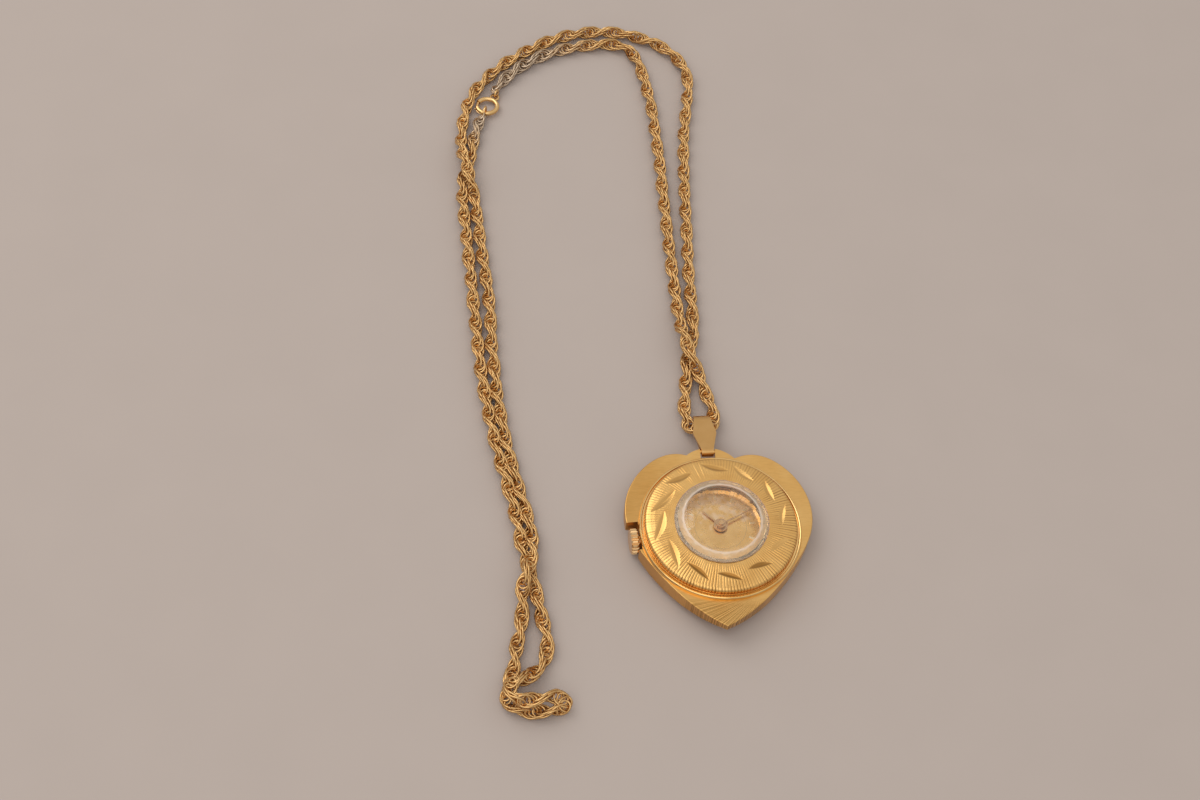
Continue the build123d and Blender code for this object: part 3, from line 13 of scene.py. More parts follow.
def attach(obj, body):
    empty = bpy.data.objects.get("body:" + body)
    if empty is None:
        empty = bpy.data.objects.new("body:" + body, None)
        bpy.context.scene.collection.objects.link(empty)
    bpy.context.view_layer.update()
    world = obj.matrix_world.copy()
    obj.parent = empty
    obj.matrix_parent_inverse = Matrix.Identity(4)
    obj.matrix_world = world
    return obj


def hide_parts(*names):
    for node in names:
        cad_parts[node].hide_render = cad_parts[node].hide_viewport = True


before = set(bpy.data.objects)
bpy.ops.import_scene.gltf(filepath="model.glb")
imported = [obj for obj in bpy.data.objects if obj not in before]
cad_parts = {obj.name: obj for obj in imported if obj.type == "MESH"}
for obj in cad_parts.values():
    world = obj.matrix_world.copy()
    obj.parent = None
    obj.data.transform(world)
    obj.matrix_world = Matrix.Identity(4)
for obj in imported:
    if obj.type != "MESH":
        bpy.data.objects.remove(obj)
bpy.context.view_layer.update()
random.seed(7)
MM = 0.001

# Camera, matched to the photograph
camera_place = (-44.12, -153.63, 266.60)
camera_elevation = radians(55.0)
camera_roll = radians(6.641)
camera_turn = radians(7.190)
camera_lens = 50.0
camera_sensor = 36.0
camera_near, camera_far = 0.01, 20.0

# Floor and light
floor_colour = (0.497, 0.423, 0.381)
floor_change = 0.01
floor_height = -0.02  # a little under the watch, so that no two faces share a plane
floor_half = 3.0
light_aim = (-0.02, 0.04, 0)
light_colour = (1, 0.985, 0.96)
key_place, key_size, key_power = (-0.575, 0.52, 0.85), 0.90, 3.1
fill_place, fill_size, fill_power = (-0.30, -0.50, 1.00), 1.20, 2.4
sky_shades = [(0.0, 0.52), (0.35, 0.57), (0.62, 0.67), (0.85, 0.72), (1.0, 0.76)]  # height, brightness
sky_tint = (1.0, 0.985, 0.965)

# Colours that several materials use
white = (1.0, 1.0, 1.0)
gold_low, gold_high = (0.80, 0.45, 0.14), (0.87, 0.53, 0.19)

# Gold of the case, in millimetres from the dial axis
fan_centre = (6.6, -13.15)  # where the graver lines on the heart's tip meet
fan_start, fan_full = -14.2, -15.8  # the lines are absent above the first and full below the second
painted_shade_full, painted_shade_end = -17.0, -5.0  # painted shade: darkest left of the first, none right of the second

# Metals: noise in cycles per metre, and the height of the grain in metres
tone_scale = 300.0
polish_scale = 2.3 * tone_scale
grain_scale = 9000.0
grain_height = 0.00002

# Engraved disc, in millimetres
plate_profile = [(8.4, 7.4), (10.6, 7.25), (12.2, 7.10), (13.0, 6.98), (13.5, 6.88), (13.8, 6.76),
                 (13.99, 6.56), (14.09, 6.26), (14.13, 5.85)]
plate_under = [(14.13, 5.3), (13.35, 5.3), (12.45, 6.25), (8.4, 6.6)]
profile_step = 0.1
ray_count = 150
ray_shape = (1.0, 0.45, 0.0, 0.0, 0.0, 0.0, 0.0, 0.45)  # depth across one ray
ray_strengths = (0.3, 0.7, 1.0, 1.3)
ray_depth = 0.075
ray_tilt = 0.034
ray_start, ray_rise = 8.6, 1.8
ray_least = 0.3  # share of the depth that is left at the upper left
ray_turn, ray_limit = 0.6, 0.7
rim_start, rim_share = 13.6, 0.9  # the rays also cut inwards from this radius on
leaf_ends = [  # outer end, inner end, half width and painted shade of each leaf cut
    (-2.79, -12.10, -7.02, -8.18, 0.66, 1.0), (3.32, -11.87, -1.78, -10.48, 0.64, 1.0),
    (8.86, -8.28, 3.85, -9.74, 0.62, 0.9), (12.15, -3.09, 8.23, -6.23, 0.60, 0.1),
    (12.00, 4.30, 10.90, -0.80, 0.66, 0.1), (8.46, 9.35, 10.09, 4.24, 0.72, 0.1),
    (2.83, 12.27, 6.74, 8.50, 0.74, 0.1), (-3.34, 12.46, 2.27, 10.92, 0.70, 0.5),
    (-9.96, 8.06, -4.50, 10.56, 0.74, 0.5), (-12.79, 1.91, -7.96, 6.74, 0.80, 0.3),
    (-12.27, -4.14, -10.27, 2.19, 0.84, 0.3), (-8.22, -9.67, -9.90, -3.55, 0.78, 0.3)]
leaf_depth = 0.24
leaf_bow = 0.32
leaf_zone = (9.6, 13.3)
leaf_reach = 6.0
leaf_least = 0.01
painted_shade_gain = 2.5  # a leaf cut has its full painted shade before its full depth
# colour multiplied into the disc as painted shade in the bottoms of its ray grooves and leaf cuts
cut_shade = (0.42, 0.34, 0.24)

# Crystal, in millimetres: radius, height and haze of each ring of points, from the middle of the under
# side round the foot to the top of the dome. The haze also paints colour in: a gold-brown painted
# reflection on the facet band and a whitish painted highlight on the ring at the table's edge
crystal_rings = [
    (0.0, 8.42, 0.0), (2.4, 8.36, 0.0), (4.8, 8.16, 0.0), (6.9, 7.88, 0.0), (7.9, 7.42, 0.0),
    (8.1, 6.02, 0.0), (8.36, 6.0, 0.0), (8.36, 7.44, 0.4), (8.7, 7.46, 0.45), (8.7, 7.62, 0.45),
    (8.55, 7.72, 0.35), (7.45, 8.30, 0.6), (7.3, 8.40, 0.9), (7.05, 8.47, 0.9), (6.85, 8.52, 0.1),
    (6.5, 8.58, 0.0), (5.2, 8.76, 0.0), (2.6, 8.94, 0.0), (0.0, 9.0, 0.0)]
crystal_facets = 24
facet_points = 4
facet_foot = 7.72
facet_swing = {7.72: (-0.12, 0.18), 8.30: (0.12, -0.08)}  # height: shift at a corner and at a middle
flange_radius = 8.7
dome_radius = 6.9

# Printing on the dial, in millimetres and degrees
dial_top = 5.25
dial_turn = 6.5
track_thickness = 0.015
track_circles = [(4.74, 4.80), (7.02, 7.07)]
circle_points = 144
stroke_start, stroke_end = 7.07, 7.42
stroke_half, hour_stroke_half = 0.045, 0.07

# Route of the chain, in millimetres
chain_route = [
    (-41.9, 113.6, 1.5), (-39.9, 117.2, 1.4), (-37.3, 120.4, 1.4), (-33.9, 123.4, 1.4),
    (-30.5, 125.6, 1.4), (-27.0, 127.2, 1.4), (-23.6, 128.3, 1.4), (-20.2, 129.1, 1.4),
    (-16.7, 129.6, 1.4), (-13.5, 129.2, 1.4), (-11.5, 128.0, 1.4), (-10.2, 125.9, 1.4),
    (-9.2, 122.7, 1.4), (-8.4, 119.0, 1.4), (-7.7, 114.3, 1.4), (-7.0, 109.1, 1.4),
    (-6.7, 103.0, 1.4), (-6.1, 94.1, 1.4), (-5.9, 85.4, 1.4), (-5.6, 77.0, 1.4),
    (-5.3, 68.8, 1.4), (-4.9, 60.8, 1.4), (-4.7, 55.6, 1.5), (-4.5, 49.7, 2.4),
    (-4.0, 45.1, 3.6), (-3.4, 42.1, 4.0), (-2.5, 39.8, 3.4), (-1.6, 37.9, 2.0),
    (-0.9, 35.4, 1.5), (-0.1, 32.4, 1.4), (0.6, 29.4, 1.6), (1.0, 26.8, 1.9),
    (0.7, 24.5, 2.1), (-0.6, 23.7, 2.2), (-2.8, 23.7, 2.2), (-4.1, 24.3, 1.9),
    (-4.6, 27.0, 1.6), (-4.5, 30.2, 1.4), (-4.1, 33.3, 1.4), (-3.6, 37.6, 1.4),
    (-3.2, 41.3, 1.4), (-2.4, 44.0, 1.4), (-1.7, 47.0, 1.4), (-1.5, 50.6, 1.4),
    (-1.6, 55.7, 1.4), (-1.7, 63.6, 1.4), (-1.4, 71.6, 1.4), (-1.3, 79.9, 1.4),
    (-1.1, 88.4, 1.4), (-0.7, 97.2, 1.4), (-0.3, 103.2, 1.4), (0.7, 109.9, 1.4),
    (1.3, 114.9, 1.4), (1.6, 119.3, 1.4), (0.8, 122.8, 1.4), (-0.6, 125.6, 1.4),
    (-2.6, 128.0, 1.4), (-5.2, 130.2, 1.4), (-8.4, 131.7, 1.4), (-12.0, 132.9, 1.4),
    (-16.6, 133.7, 1.4), (-20.5, 133.2, 1.4), (-24.7, 132.2, 1.4), (-29.3, 130.3, 1.4),
    (-33.2, 127.6, 1.4), (-36.8, 124.9, 1.4), (-40.6, 121.5, 1.4), (-43.9, 117.3, 1.4),
    (-46.3, 113.5, 1.4), (-47.8, 109.4, 1.4), (-48.5, 105.5, 1.4), (-48.9, 101.6, 1.4),
    (-49.0, 97.9, 1.5), (-48.8, 94.3, 2.6), (-48.2, 90.5, 3.8), (-47.4, 87.8, 4.0),
    (-46.6, 85.9, 3.0), (-46.2, 84.1, 1.6), (-45.7, 80.1, 1.4), (-45.0, 74.6, 1.4),
    (-44.3, 67.8, 1.4), (-43.4, 61.3, 1.4), (-42.6, 54.8, 1.4), (-42.2, 48.5, 1.4),
    (-42.1, 43.5, 1.4), (-41.5, 38.6, 1.4), (-41.1, 32.7, 1.4), (-40.4, 28.0, 1.4),
    (-39.7, 23.3, 1.4), (-38.6, 17.7, 1.4), (-37.4, 12.6, 1.4), (-36.1, 7.8, 1.4),
    (-35.0, 3.5, 1.4), (-34.3, -0.8, 1.5), (-34.4, -4.8, 2.6), (-35.2, -8.2, 3.9),
    (-35.9, -10.4, 3.4), (-36.2, -12.2, 2.0), (-36.1, -15.1, 1.4), (-36.4, -18.3, 1.4),
    (-37.1, -21.8, 1.4), (-37.6, -24.9, 1.4), (-37.7, -27.2, 1.5), (-38.8, -29.5, 1.6),
    (-39.1, -31.9, 1.5), (-37.8, -33.9, 1.4), (-35.4, -34.7, 1.4), (-32.3, -34.5, 1.4),
    (-29.9, -34.3, 1.4), (-28.7, -33.4, 1.8), (-29.8, -32.4, 2.6), (-31.8, -32.5, 3.2),
    (-33.9, -33.3, 3.6), (-36.0, -33.8, 3.9), (-37.9, -33.2, 4.2), (-38.6, -31.5, 4.2),
    (-37.7, -30.0, 3.8), (-35.9, -29.2, 2.8), (-34.3, -27.7, 1.8), (-32.7, -25.8, 1.4),
    (-31.8, -23.5, 1.4), (-31.8, -20.6, 1.4), (-32.5, -17.5, 1.4), (-33.2, -14.3, 1.4),
    (-33.8, -11.1, 1.4), (-34.4, -8.4, 1.4), (-35.2, -5.8, 1.4), (-36.0, -2.9, 1.4),
    (-36.7, 0.9, 1.4), (-37.4, 5.2, 1.4), (-38.5, 9.9, 1.4), (-39.8, 14.8, 1.4),
    (-41.0, 19.9, 1.4), (-42.2, 25.6, 1.4), (-43.0, 30.3, 1.4), (-43.8, 35.0, 1.4),
    (-44.5, 41.0, 1.4), (-45.1, 47.2, 1.4), (-45.7, 53.5, 1.4), (-46.3, 59.9, 1.4),
    (-47.1, 67.8, 1.4), (-47.7, 74.5, 1.4), (-48.3, 80.0, 1.4), (-48.5, 84.2, 1.4),
    (-48.3, 87.6, 1.4), (-47.6, 90.5, 1.4), (-46.9, 93.4, 1.4), (-46.4, 96.9, 1.4),
    (-46.1, 100.5, 1.4), (-45.2, 103.9, 1.5), (-44.3, 106.0, 1.5)]
link_pitch = 0.64
link_half_length = 1.75
link_half_width = 1.18
link_wire = 0.205
link_points, wire_points = 20, 6
link_spread = radians(16.0)
link_turn = radians(-20.5)
link_tilt = radians(-4.0)
link_twist = 0.55 * link_turn / link_pitch
turn_play, tilt_play = 0.10, 0.06
end_taper, end_size = 3.0, 0.5  # length over which the end links shrink, and to which share
worn_share = 0.85
worn_start, worn_start_fade = 30.0, 16.0  # worn stretch at the start of the chain, and its fade
worn_end, worn_end_fade = 10.0, 6.0


# ---------------------------------------------------------------- materials
def nodes_of(name, metallic=0.0):
    """New material, with its node tree and its shader."""
    material = bpy.data.materials.new(name)
    material.use_nodes = True
    shader = material.node_tree.nodes["Principled BSDF"]
    shader.inputs["Metallic"].default_value = metallic
    return material, material.node_tree, shader


def feed(tree, socket, value):
    """Give a socket another node's output, or a plain value."""
    if isinstance(value, bpy.types.NodeSocket):
        tree.links.new(value, socket)
    else:
        socket.default_value = value


def add(tree, kind, **values):
    """New node. A value whose name is no input is a setting of the node."""
    node = tree.nodes.new(kind)
    for key, value in values.items():
        if key in node.inputs:
            feed(tree, node.inputs[key], value)
        else:
            setattr(node, key, value)
    return node


def noise(tree, scale, detail=3.0, stretch=(1, 1, 1), turn=(0, 0, 0)):
    """Noise over the object's own coordinates, in cycles per metre."""
    where = add(tree, "ShaderNodeTexCoord").outputs["Object"]
    mapping = add(tree, "ShaderNodeMapping", Vector=where, Scale=stretch, Rotation=turn)
    return add(tree, "ShaderNodeTexNoise", Vector=mapping.outputs["Vector"], Scale=scale,
               Detail=detail).outputs["Fac"]


def parts_of(tree, vector):
    """X, Y and Z of a vector, by name."""
    return add(tree, "ShaderNodeSeparateXYZ", Vector=vector).outputs


def marked(tree, name):
    """Number that the mesh holds at each of its points."""
    return add(tree, "ShaderNodeAttribute", attribute_name=name).outputs["Fac"]


def calc(tree, operation, first, second):
    """Number worked out from two others."""
    node = add(tree, "ShaderNodeMath", operation=operation)
    feed(tree, node.inputs[0], first)
    feed(tree, node.inputs[1], second)
    return node.outputs["Value"]


def span(tree, value, low, high, start=0.0, end=1.0):
    """Number that goes from low to high while a value goes from start to end."""
    return add(tree, "ShaderNodeMapRange", **{
        "Value": value, "From Min": start, "From Max": end, "To Min": low, "To Max": high}).outputs["Result"]


def graded(tree, value, stops):
    """Colour for a value, from a row of places between 0 and 1 with their colours."""
    node = add(tree, "ShaderNodeValToRGB", Fac=value)
    elements = node.color_ramp.elements
    while len(elements) < len(stops):
        elements.new(0.5)
    for element, (place, colour) in zip(elements, stops):
        element.position = place
        element.color = (*colour, 1)
    return node.outputs["Color"]


def ramp(tree, value, low, high, start=0.3, end=0.7):
    """Colour between two others, for a value between two limits."""
    return graded(tree, value, [(start, low), (end, high)])


def mixed(tree, factor, first, second, blend="MIX"):
    """Colour between two others, or their product."""
    return add(tree, "ShaderNodeMix", data_type="RGBA", blend_type=blend, Factor=factor, A=first,
               B=second).outputs["Result"]


def bump(tree, shader, height, strength, distance):
    """Fine relief on a shader."""
    node = add(tree, "ShaderNodeBump", Height=height, Strength=strength, Distance=distance)
    tree.links.new(node.outputs["Normal"], shader.inputs["Normal"])
    return node


def metal(name, low, high, rough, grain=(1, 1, 1), strength=0.12):
    """Metal with slow colour changes, uneven polish and a fine grain.

    The grain can be drawn out along one axis, for a brushed face.
    """
    material, tree, shader = nodes_of(name, metallic=1.0)
    tree.links.new(ramp(tree, noise(tree, tone_scale), low, high), shader.inputs["Base Color"])
    tree.links.new(span(tree, noise(tree, polish_scale), *rough), shader.inputs["Roughness"])
    bump(tree, shader, noise(tree, grain_scale, 4.0, grain), strength, grain_height)
    return material


def darkened(material, attribute, shade):
    """Shade a metal where an attribute of its mesh marks the bottom of a cut."""
    tree = material.node_tree
    socket = tree.nodes["Principled BSDF"].inputs["Base Color"]
    colour = socket.links[0].from_socket
    tree.links.new(mixed(tree, marked(tree, attribute), colour, (*shade, 1), "MULTIPLY"), socket)
    return material


def case_material():
    """Gold with a brushed face, painted shade to the left, and graver lines fanned over the heart's tip."""
    material, tree, shader = nodes_of("case_gold", metallic=1.0)
    where = add(tree, "ShaderNodeTexCoord").outputs["Object"]
    place = parts_of(tree, where)
    fan = add(tree, "ShaderNodeMapping", Vector=where,
              Location=(-fan_centre[0] * MM, -fan_centre[1] * MM, 0))
    arm = parts_of(tree, fan.outputs["Vector"])
    angle = add(tree, "ShaderNodeCombineXYZ", X=calc(tree, "ARCTAN2", arm["Y"], arm["X"]))
    lines = add(tree, "ShaderNodeTexNoise", Vector=angle.outputs["Vector"], Scale=44.0, Detail=4.0,
                Roughness=0.8).outputs["Fac"]
    reach = span(tree, place["Y"], 0.0, 1.0, fan_start * MM, fan_full * MM)
    side = span(tree, place["X"], 0.0, 1.0, painted_shade_full * MM, painted_shade_end * MM)
    brushed = noise(tree, 700.0, 4.0, (1, 14, 1), (0, 0, radians(38)))
    gold = ramp(tree, noise(tree, 160.0), gold_low, gold_high)
    # painted shade: the first layer darkens the face towards its left
    for layer, factor in ((ramp(tree, side, (0.80, 0.74, 0.66), white, 0.0, 1.0), 1.0),
                          (ramp(tree, brushed, (0.90, 0.88, 0.84), white, 0.3, 0.6), 1.0),
                          (ramp(tree, lines, (0.36, 0.27, 0.16), white, 0.43, 0.54), reach)):
        gold = mixed(tree, factor, gold, layer, "MULTIPLY")
    tree.links.new(gold, shader.inputs["Base Color"])
    tree.links.new(span(tree, noise(tree, 2100.0), 0.26, 0.38), shader.inputs["Roughness"])
    grain = bump(tree, shader, brushed, 0.35, grain_height)
    relief = add(tree, "ShaderNodeBump", Height=lines, Strength=reach, Distance=3 * grain_height)
    tree.links.new(relief.outputs["Normal"], grain.inputs["Normal"])
    return material


def dial_material():
    """Pale gold dial, with painted pinkish highlights and glints that lie thicker above the hands."""
    material, tree, shader = nodes_of("dial_gold", metallic=1.0)
    place = parts_of(tree, add(tree, "ShaderNodeTexCoord").outputs["Object"])
    # painted highlight: pinkish glints, thicker towards the top of the dial
    rise = span(tree, place["Y"], -0.25, 0.15, -3.0 * MM, 4.0 * MM)
    painted_glints = calc(tree, "ADD", noise(tree, 800.0, 1.0), rise)
    gold = ramp(tree, noise(tree, 500.0), (0.84, 0.51, 0.165), (0.95, 0.62, 0.24))
    colour = mixed(tree, span(tree, painted_glints, 0.0, 0.75, 0.50, 0.80), gold, (1.0, 0.77, 0.57, 1))
    tree.links.new(colour, shader.inputs["Base Color"])
    tree.links.new(span(tree, noise(tree, 400.0), 0.22, 0.34), shader.inputs["Roughness"])
    bump(tree, shader, noise(tree, 900.0, 1.0), 0.03, 0.00003)
    return material


def ruby_material():
    """Clear red of the jewels, in two slow tones."""
    material, tree, shader = nodes_of("ruby")
    tree.links.new(ramp(tree, noise(tree, 3000.0), (0.50, 0.02, 0.08), (0.64, 0.05, 0.13)),
                   shader.inputs["Base Color"])
    shader.inputs["Roughness"].default_value = 0.08
    shader.inputs["IOR"].default_value = 1.76
    return material


def chain_material():
    """Polished wire gold, worn pale and grey beside the clasp."""
    material, tree, shader = nodes_of("chain_gold", metallic=1.0)
    gold = ramp(tree, noise(tree, 500.0), (0.64, 0.385, 0.155), (0.80, 0.50, 0.21))
    worn = ramp(tree, noise(tree, 1500.0), (0.44, 0.34, 0.25), (0.66, 0.54, 0.42))
    tree.links.new(mixed(tree, marked(tree, "wear"), gold, worn), shader.inputs["Base Color"])
    tree.links.new(span(tree, noise(tree, 2600.0), 0.24, 0.36), shader.inputs["Roughness"])
    bump(tree, shader, noise(tree, 9000.0), 0.06, grain_height)
    return material


def crystal_material():
    """Clear acrylic, faintly scratched; its cut band is hazy and has a painted reflection and highlight."""
    material, tree, shader = nodes_of("crystal_clear")
    shader.inputs["IOR"].default_value = 1.49
    band = marked(tree, "band")
    # painted reflection and highlight: gold-brown on the facet band, whitish at the table's edge
    tint = graded(tree, band, [(0.0, (0.985, 0.96, 0.93)), (0.5, (0.90, 0.68, 0.44)),
                               (1.0, (0.95, 0.81, 0.69))])
    scratches = span(tree, noise(tree, 2500.0, 2.0, (1, 8, 1)), 0.0, 0.008)
    tree.links.new(tint, shader.inputs["Base Color"])
    tree.links.new(span(tree, band, 1.0, 0.35), shader.inputs["Transmission Weight"])
    tree.links.new(calc(tree, "ADD", calc(tree, "MULTIPLY", band, 0.16), scratches),
                   shader.inputs["Roughness"])
    return material


case_gold = case_material()
back_gold = metal("back_gold", gold_low, gold_high, (0.16, 0.30))
rim_gold = metal("rim_gold", (0.86, 0.54, 0.20), (0.92, 0.62, 0.26), (0.10, 0.20), strength=0.05)
disc_gold = metal("disc_gold", (0.82, 0.46, 0.145), (0.90, 0.54, 0.19), (0.20, 0.30), strength=0.05)
bail_gold = metal("bail_gold", (0.63, 0.355, 0.125), (0.71, 0.42, 0.165), (0.26, 0.38))
crown_gold = metal("crown_gold", (0.80, 0.50, 0.23), (0.88, 0.59, 0.31), (0.16, 0.28))
clasp_gold = metal("clasp_gold", (0.80, 0.50, 0.20), (0.88, 0.58, 0.26), (0.14, 0.28))
rose_gold = metal("rose_gold", (0.72, 0.46, 0.21), (0.80, 0.53, 0.27), (0.20, 0.32), strength=0.04)
dial_gold = dial_material()
marker_gold = metal("marker_gold", (0.86, 0.66, 0.38), (0.92, 0.74, 0.48), (0.12, 0.20), strength=0.03)
hand_gold = metal("hand_gold", (0.58, 0.36, 0.18), (0.66, 0.43, 0.23), (0.20, 0.30), strength=0.03)
steel = metal("steel", (0.50, 0.50, 0.50), (0.60, 0.60, 0.60), (0.18, 0.30))
brass = metal("brass", (0.72, 0.52, 0.24), (0.80, 0.60, 0.30), (0.22, 0.34))
nickel = metal("nickel", (0.62, 0.60, 0.55), (0.70, 0.68, 0.63), (0.24, 0.36), grain=(1, 12, 1))
spring_steel = metal("spring_steel", (0.28, 0.30, 0.36), (0.36, 0.38, 0.44), (0.16, 0.28))
track_ink = metal("track_ink", (0.56, 0.38, 0.20), (0.68, 0.48, 0.27), (0.3, 0.4), strength=0.03)
ruby = ruby_material()
crystal_clear = crystal_material()


# ---------------------------------------------------------------- mesh helpers
def piece(name, points, faces, material, body, smooth=True):
    """Mesh object from points in millimetres, riding on a body."""
    mesh = bpy.data.meshes.new(name)
    mesh.from_pydata([tuple(c * MM for c in p) for p in points], [], faces)
    mesh.validate()
    mesh.materials.append(material)
    for polygon in mesh.polygons:
        polygon.use_smooth = smooth
    made = bpy.data.objects.new(name, mesh)
    bpy.context.scene.collection.objects.link(made)
    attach(made, body)
    return made


def store(made, name, values):
    """Numbers at the points of a piece, for its material to read."""
    made.data.attributes.new(name, "FLOAT", "POINT").data.foreach_set("value", values)


def round_point(radius, index, count, height):
    """Point on a circle about the dial's axis."""
    angle = 2 * pi * index / count
    return radius * cos(angle), radius * sin(angle), height


def loop_faces(rows, count):
    """Faces of a tube that closes on itself, from rows that are each a closed loop of points."""
    faces = []
    for row in range(rows):
        after = (row + 1) % rows
        for index in range(count):
            follow = (index + 1) % count
            faces.append((row * count + index, after * count + index,
                          after * count + follow, row * count + follow))
    return faces


def shifted(faces, first):
    """The same faces, for points that begin at another number."""
    return [tuple(first + corner for corner in face) for face in faces]


# ---------------------------------------------------------------- chain
def route_points():
    """Points along the chain's own smooth line, read from its spline."""
    data = bpy.data.curves.new("chain_line", "CURVE")
    data.dimensions = "3D"
    data.resolution_u = 24
    line = data.splines.new("NURBS")
    line.points.add(len(chain_route) - 1)
    for point, place in zip(line.points, chain_route):
        point.co = (*(c * MM for c in place), 1)
    line.order_u = 3
    line.use_endpoint_u = True
    holder = bpy.data.objects.new("chain_line", data)
    mesh = bpy.data.meshes.new_from_object(holder)
    points = [vertex.co / MM for vertex in mesh.vertices]
    bpy.data.objects.remove(holder)
    return points


def walk(points, pitch):
    """Places, directions and lengths reached at an even pitch along a line, and the line's length."""
    steps = []
    total = 0.0
    due = pitch / 2
    for start, end in zip(points, points[1:]):
        run = (end - start).length
        while run > 0 and total + run >= due:
            share = (due - total) / run
            steps.append((start.lerp(end, share), (end - start).normalized(), due))
            due += pitch
        total += run
    return steps, total


def oval_link(centre, along, side, normal, size):
    """Points of one closed oval link of round wire, twisted about its long direction."""
    half_length, half_width = size * link_half_length, size * link_half_width
    points = []
    for index in range(link_points):
        angle = 2 * pi * index / link_points
        turned = link_twist * half_length * cos(angle)
        across = side * cos(turned) + normal * sin(turned)
        thick = normal * cos(turned) - side * sin(turned)
        out = along * cos(angle) * half_width + across * sin(angle) * half_length
        out.normalize()
        spine = centre + along * (half_length * cos(angle)) + across * (half_width * sin(angle))
        for step in range(wire_points):
            turn = 2 * pi * step / wire_points
            points.append(spine + out * (link_wire * cos(turn)) + thick * (link_wire * sin(turn)))
    return points


def make_chain():
    """Rope of oval wire links, each turned a little further about the line than the last."""
    line = route_points()
    steps, total = walk(line, link_pitch)
    loops = loop_faces(link_points, wire_points)
    points, faces, wear = [], [], []
    for index, (centre, ahead, reached) in enumerate(steps):
        left = total - reached
        level = Vector((-ahead.y, ahead.x, 0)).normalized()
        upward = ahead.cross(level)
        spread = link_spread if index % 2 else -link_spread
        angle = index * link_turn + spread + random.uniform(-turn_play, turn_play)
        side = level * cos(angle) + upward * sin(angle)
        normal = ahead.cross(side)
        tilt = link_tilt + random.uniform(-tilt_play, tilt_play)
        along = ahead * cos(tilt) + normal * sin(tilt)
        across = normal * cos(tilt) - ahead * sin(tilt)
        size = min(1.0, end_size + (1 - end_size) * min(reached, left) / end_taper)
        ring = oval_link(centre, along, side, across, size)
        worn = max(0.0, min(1.0, (worn_start - reached) / worn_start_fade),
                   min(1.0, (worn_end - left) / worn_end_fade))
        faces += shifted(loops, len(points))
        points += ring
        wear += [worn_share * worn] * len(ring)
    made = piece("chain_links", points, faces, chain_material(), "bail_and_chain")
    store(made, "wear", wear)
    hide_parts("chain")


# ---------------------------------------------------------------- engraved disc
def leaf_cuts():
    """Middle, long direction, half length, half width and painted shade of each leaf cut in the disc."""
    cuts = []
    for outer_x, outer_y, inner_x, inner_y, width, painted_shade in leaf_ends:
        length = hypot(outer_x - inner_x, outer_y - inner_y)
        along = ((outer_x - inner_x) / length, (outer_y - inner_y) / length)
        cuts.append(((outer_x + inner_x) / 2, (outer_y + inner_y) / 2, along, length / 2, width, painted_shade))
    return cuts


def leaf_depth_at(x, y, cuts):
    """Depth and painted shade of a leaf cut under a point of the disc: a crescent with two flat slopes."""
    for middle_x, middle_y, along, half, width, painted_shade in cuts:
        dx, dy = x - middle_x, y - middle_y
        if abs(dx) + abs(dy) >= leaf_reach:
            continue
        place = (dx * along[0] + dy * along[1]) / half
        if abs(place) >= 1:
            continue
        bow = 1 - place * place
        off = abs(dy * along[0] - dx * along[1] - leaf_bow * (bow - 0.5))
        if off < width * bow:
            return leaf_depth * (width * bow - off) / width, painted_shade
    return 0.0, 0.0


def ray_share(radius, angle):
    """Share of the rays' full depth: none at the bore, and least at the upper left."""
    rise = min(1.0, max(0.0, (radius - ray_start) / ray_rise))
    return rise * (ray_least + (1 - ray_least) * min(1.0, max(0.0, ray_limit - sin(angle - ray_turn))))


def profile_rings():
    """Radii and heights of the disc's upper side, at short even steps."""
    rings = []
    for (r0, z0), (r1, z1) in zip(plate_profile, plate_profile[1:]):
        steps = max(1, round(hypot(r1 - r0, z1 - z0) / profile_step))
        rings += [(r0 + (r1 - r0) * k / steps, z0 + (z1 - z0) * k / steps) for k in range(steps)]
    return rings + [plate_profile[-1]]


def make_disc():
    """Domed disc with engraved rays that deepen to its edge, and twelve leaf cuts, with painted shade in
    their bottoms.
    """
    cuts = leaf_cuts()
    samples = len(ray_shape)
    count = ray_count * samples
    strengths = [random.choice(ray_strengths) for _ in range(ray_count)]
    tilts = [random.uniform(-1, 1) for _ in range(ray_count)]
    points, marks = [], []
    for radius, height in profile_rings():
        near = cuts if leaf_zone[0] < radius < leaf_zone[1] else []
        for index in range(count):
            ray, sample = divmod(index, samples)
            angle = 2 * pi * index / count
            x, y, z = round_point(radius, index, count, height)
            share = ray_share(radius, angle)
            groove = share * ray_depth * strengths[ray] * ray_shape[sample]
            leaf, painted_shade = leaf_depth_at(x, y, near)
            if leaf < leaf_least:
                # painted shade: the ray groove bottoms are darkened, most where deepest and least at the
                # upper left
                mark = share * min(1.0, strengths[ray] * ray_shape[sample])
                z -= groove + share * ray_tilt * (0.5 + tilts[ray] * (sample / samples - 0.5))
            else:
                # painted shade in the leaf cut, heaviest on the three lowest leaves
                mark = painted_shade * min(1.0, painted_shade_gain * leaf / leaf_depth)
                z -= leaf + share * ray_tilt / 2
            if radius > rim_start:
                x -= rim_share * groove * cos(angle)
                y -= rim_share * groove * sin(angle)
            points.append((x, y, z))
            marks.append(mark)
    for radius, height in plate_under:
        points += [round_point(radius, index, count, height) for index in range(count)]
        marks += [0.0] * count
    faces = loop_faces(len(points) // count, count)
    made = piece("engraved_disc", points, faces, darkened(disc_gold, "mark", cut_shade), "case")
    store(made, "mark", marks)
    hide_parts("bezel_plate")


# ---------------------------------------------------------------- crystal
def facet_radius(radius, height, index):
    """Radius of a point of the crystal, which swings in and out at both ends of the facets."""
    weight = 1 - abs(2 * (index % facet_points) / facet_points - 1)
    corner, middle = facet_swing.get(height, (0.0, 0.0))
    return min(radius + corner + (middle - corner) * weight, flange_radius)


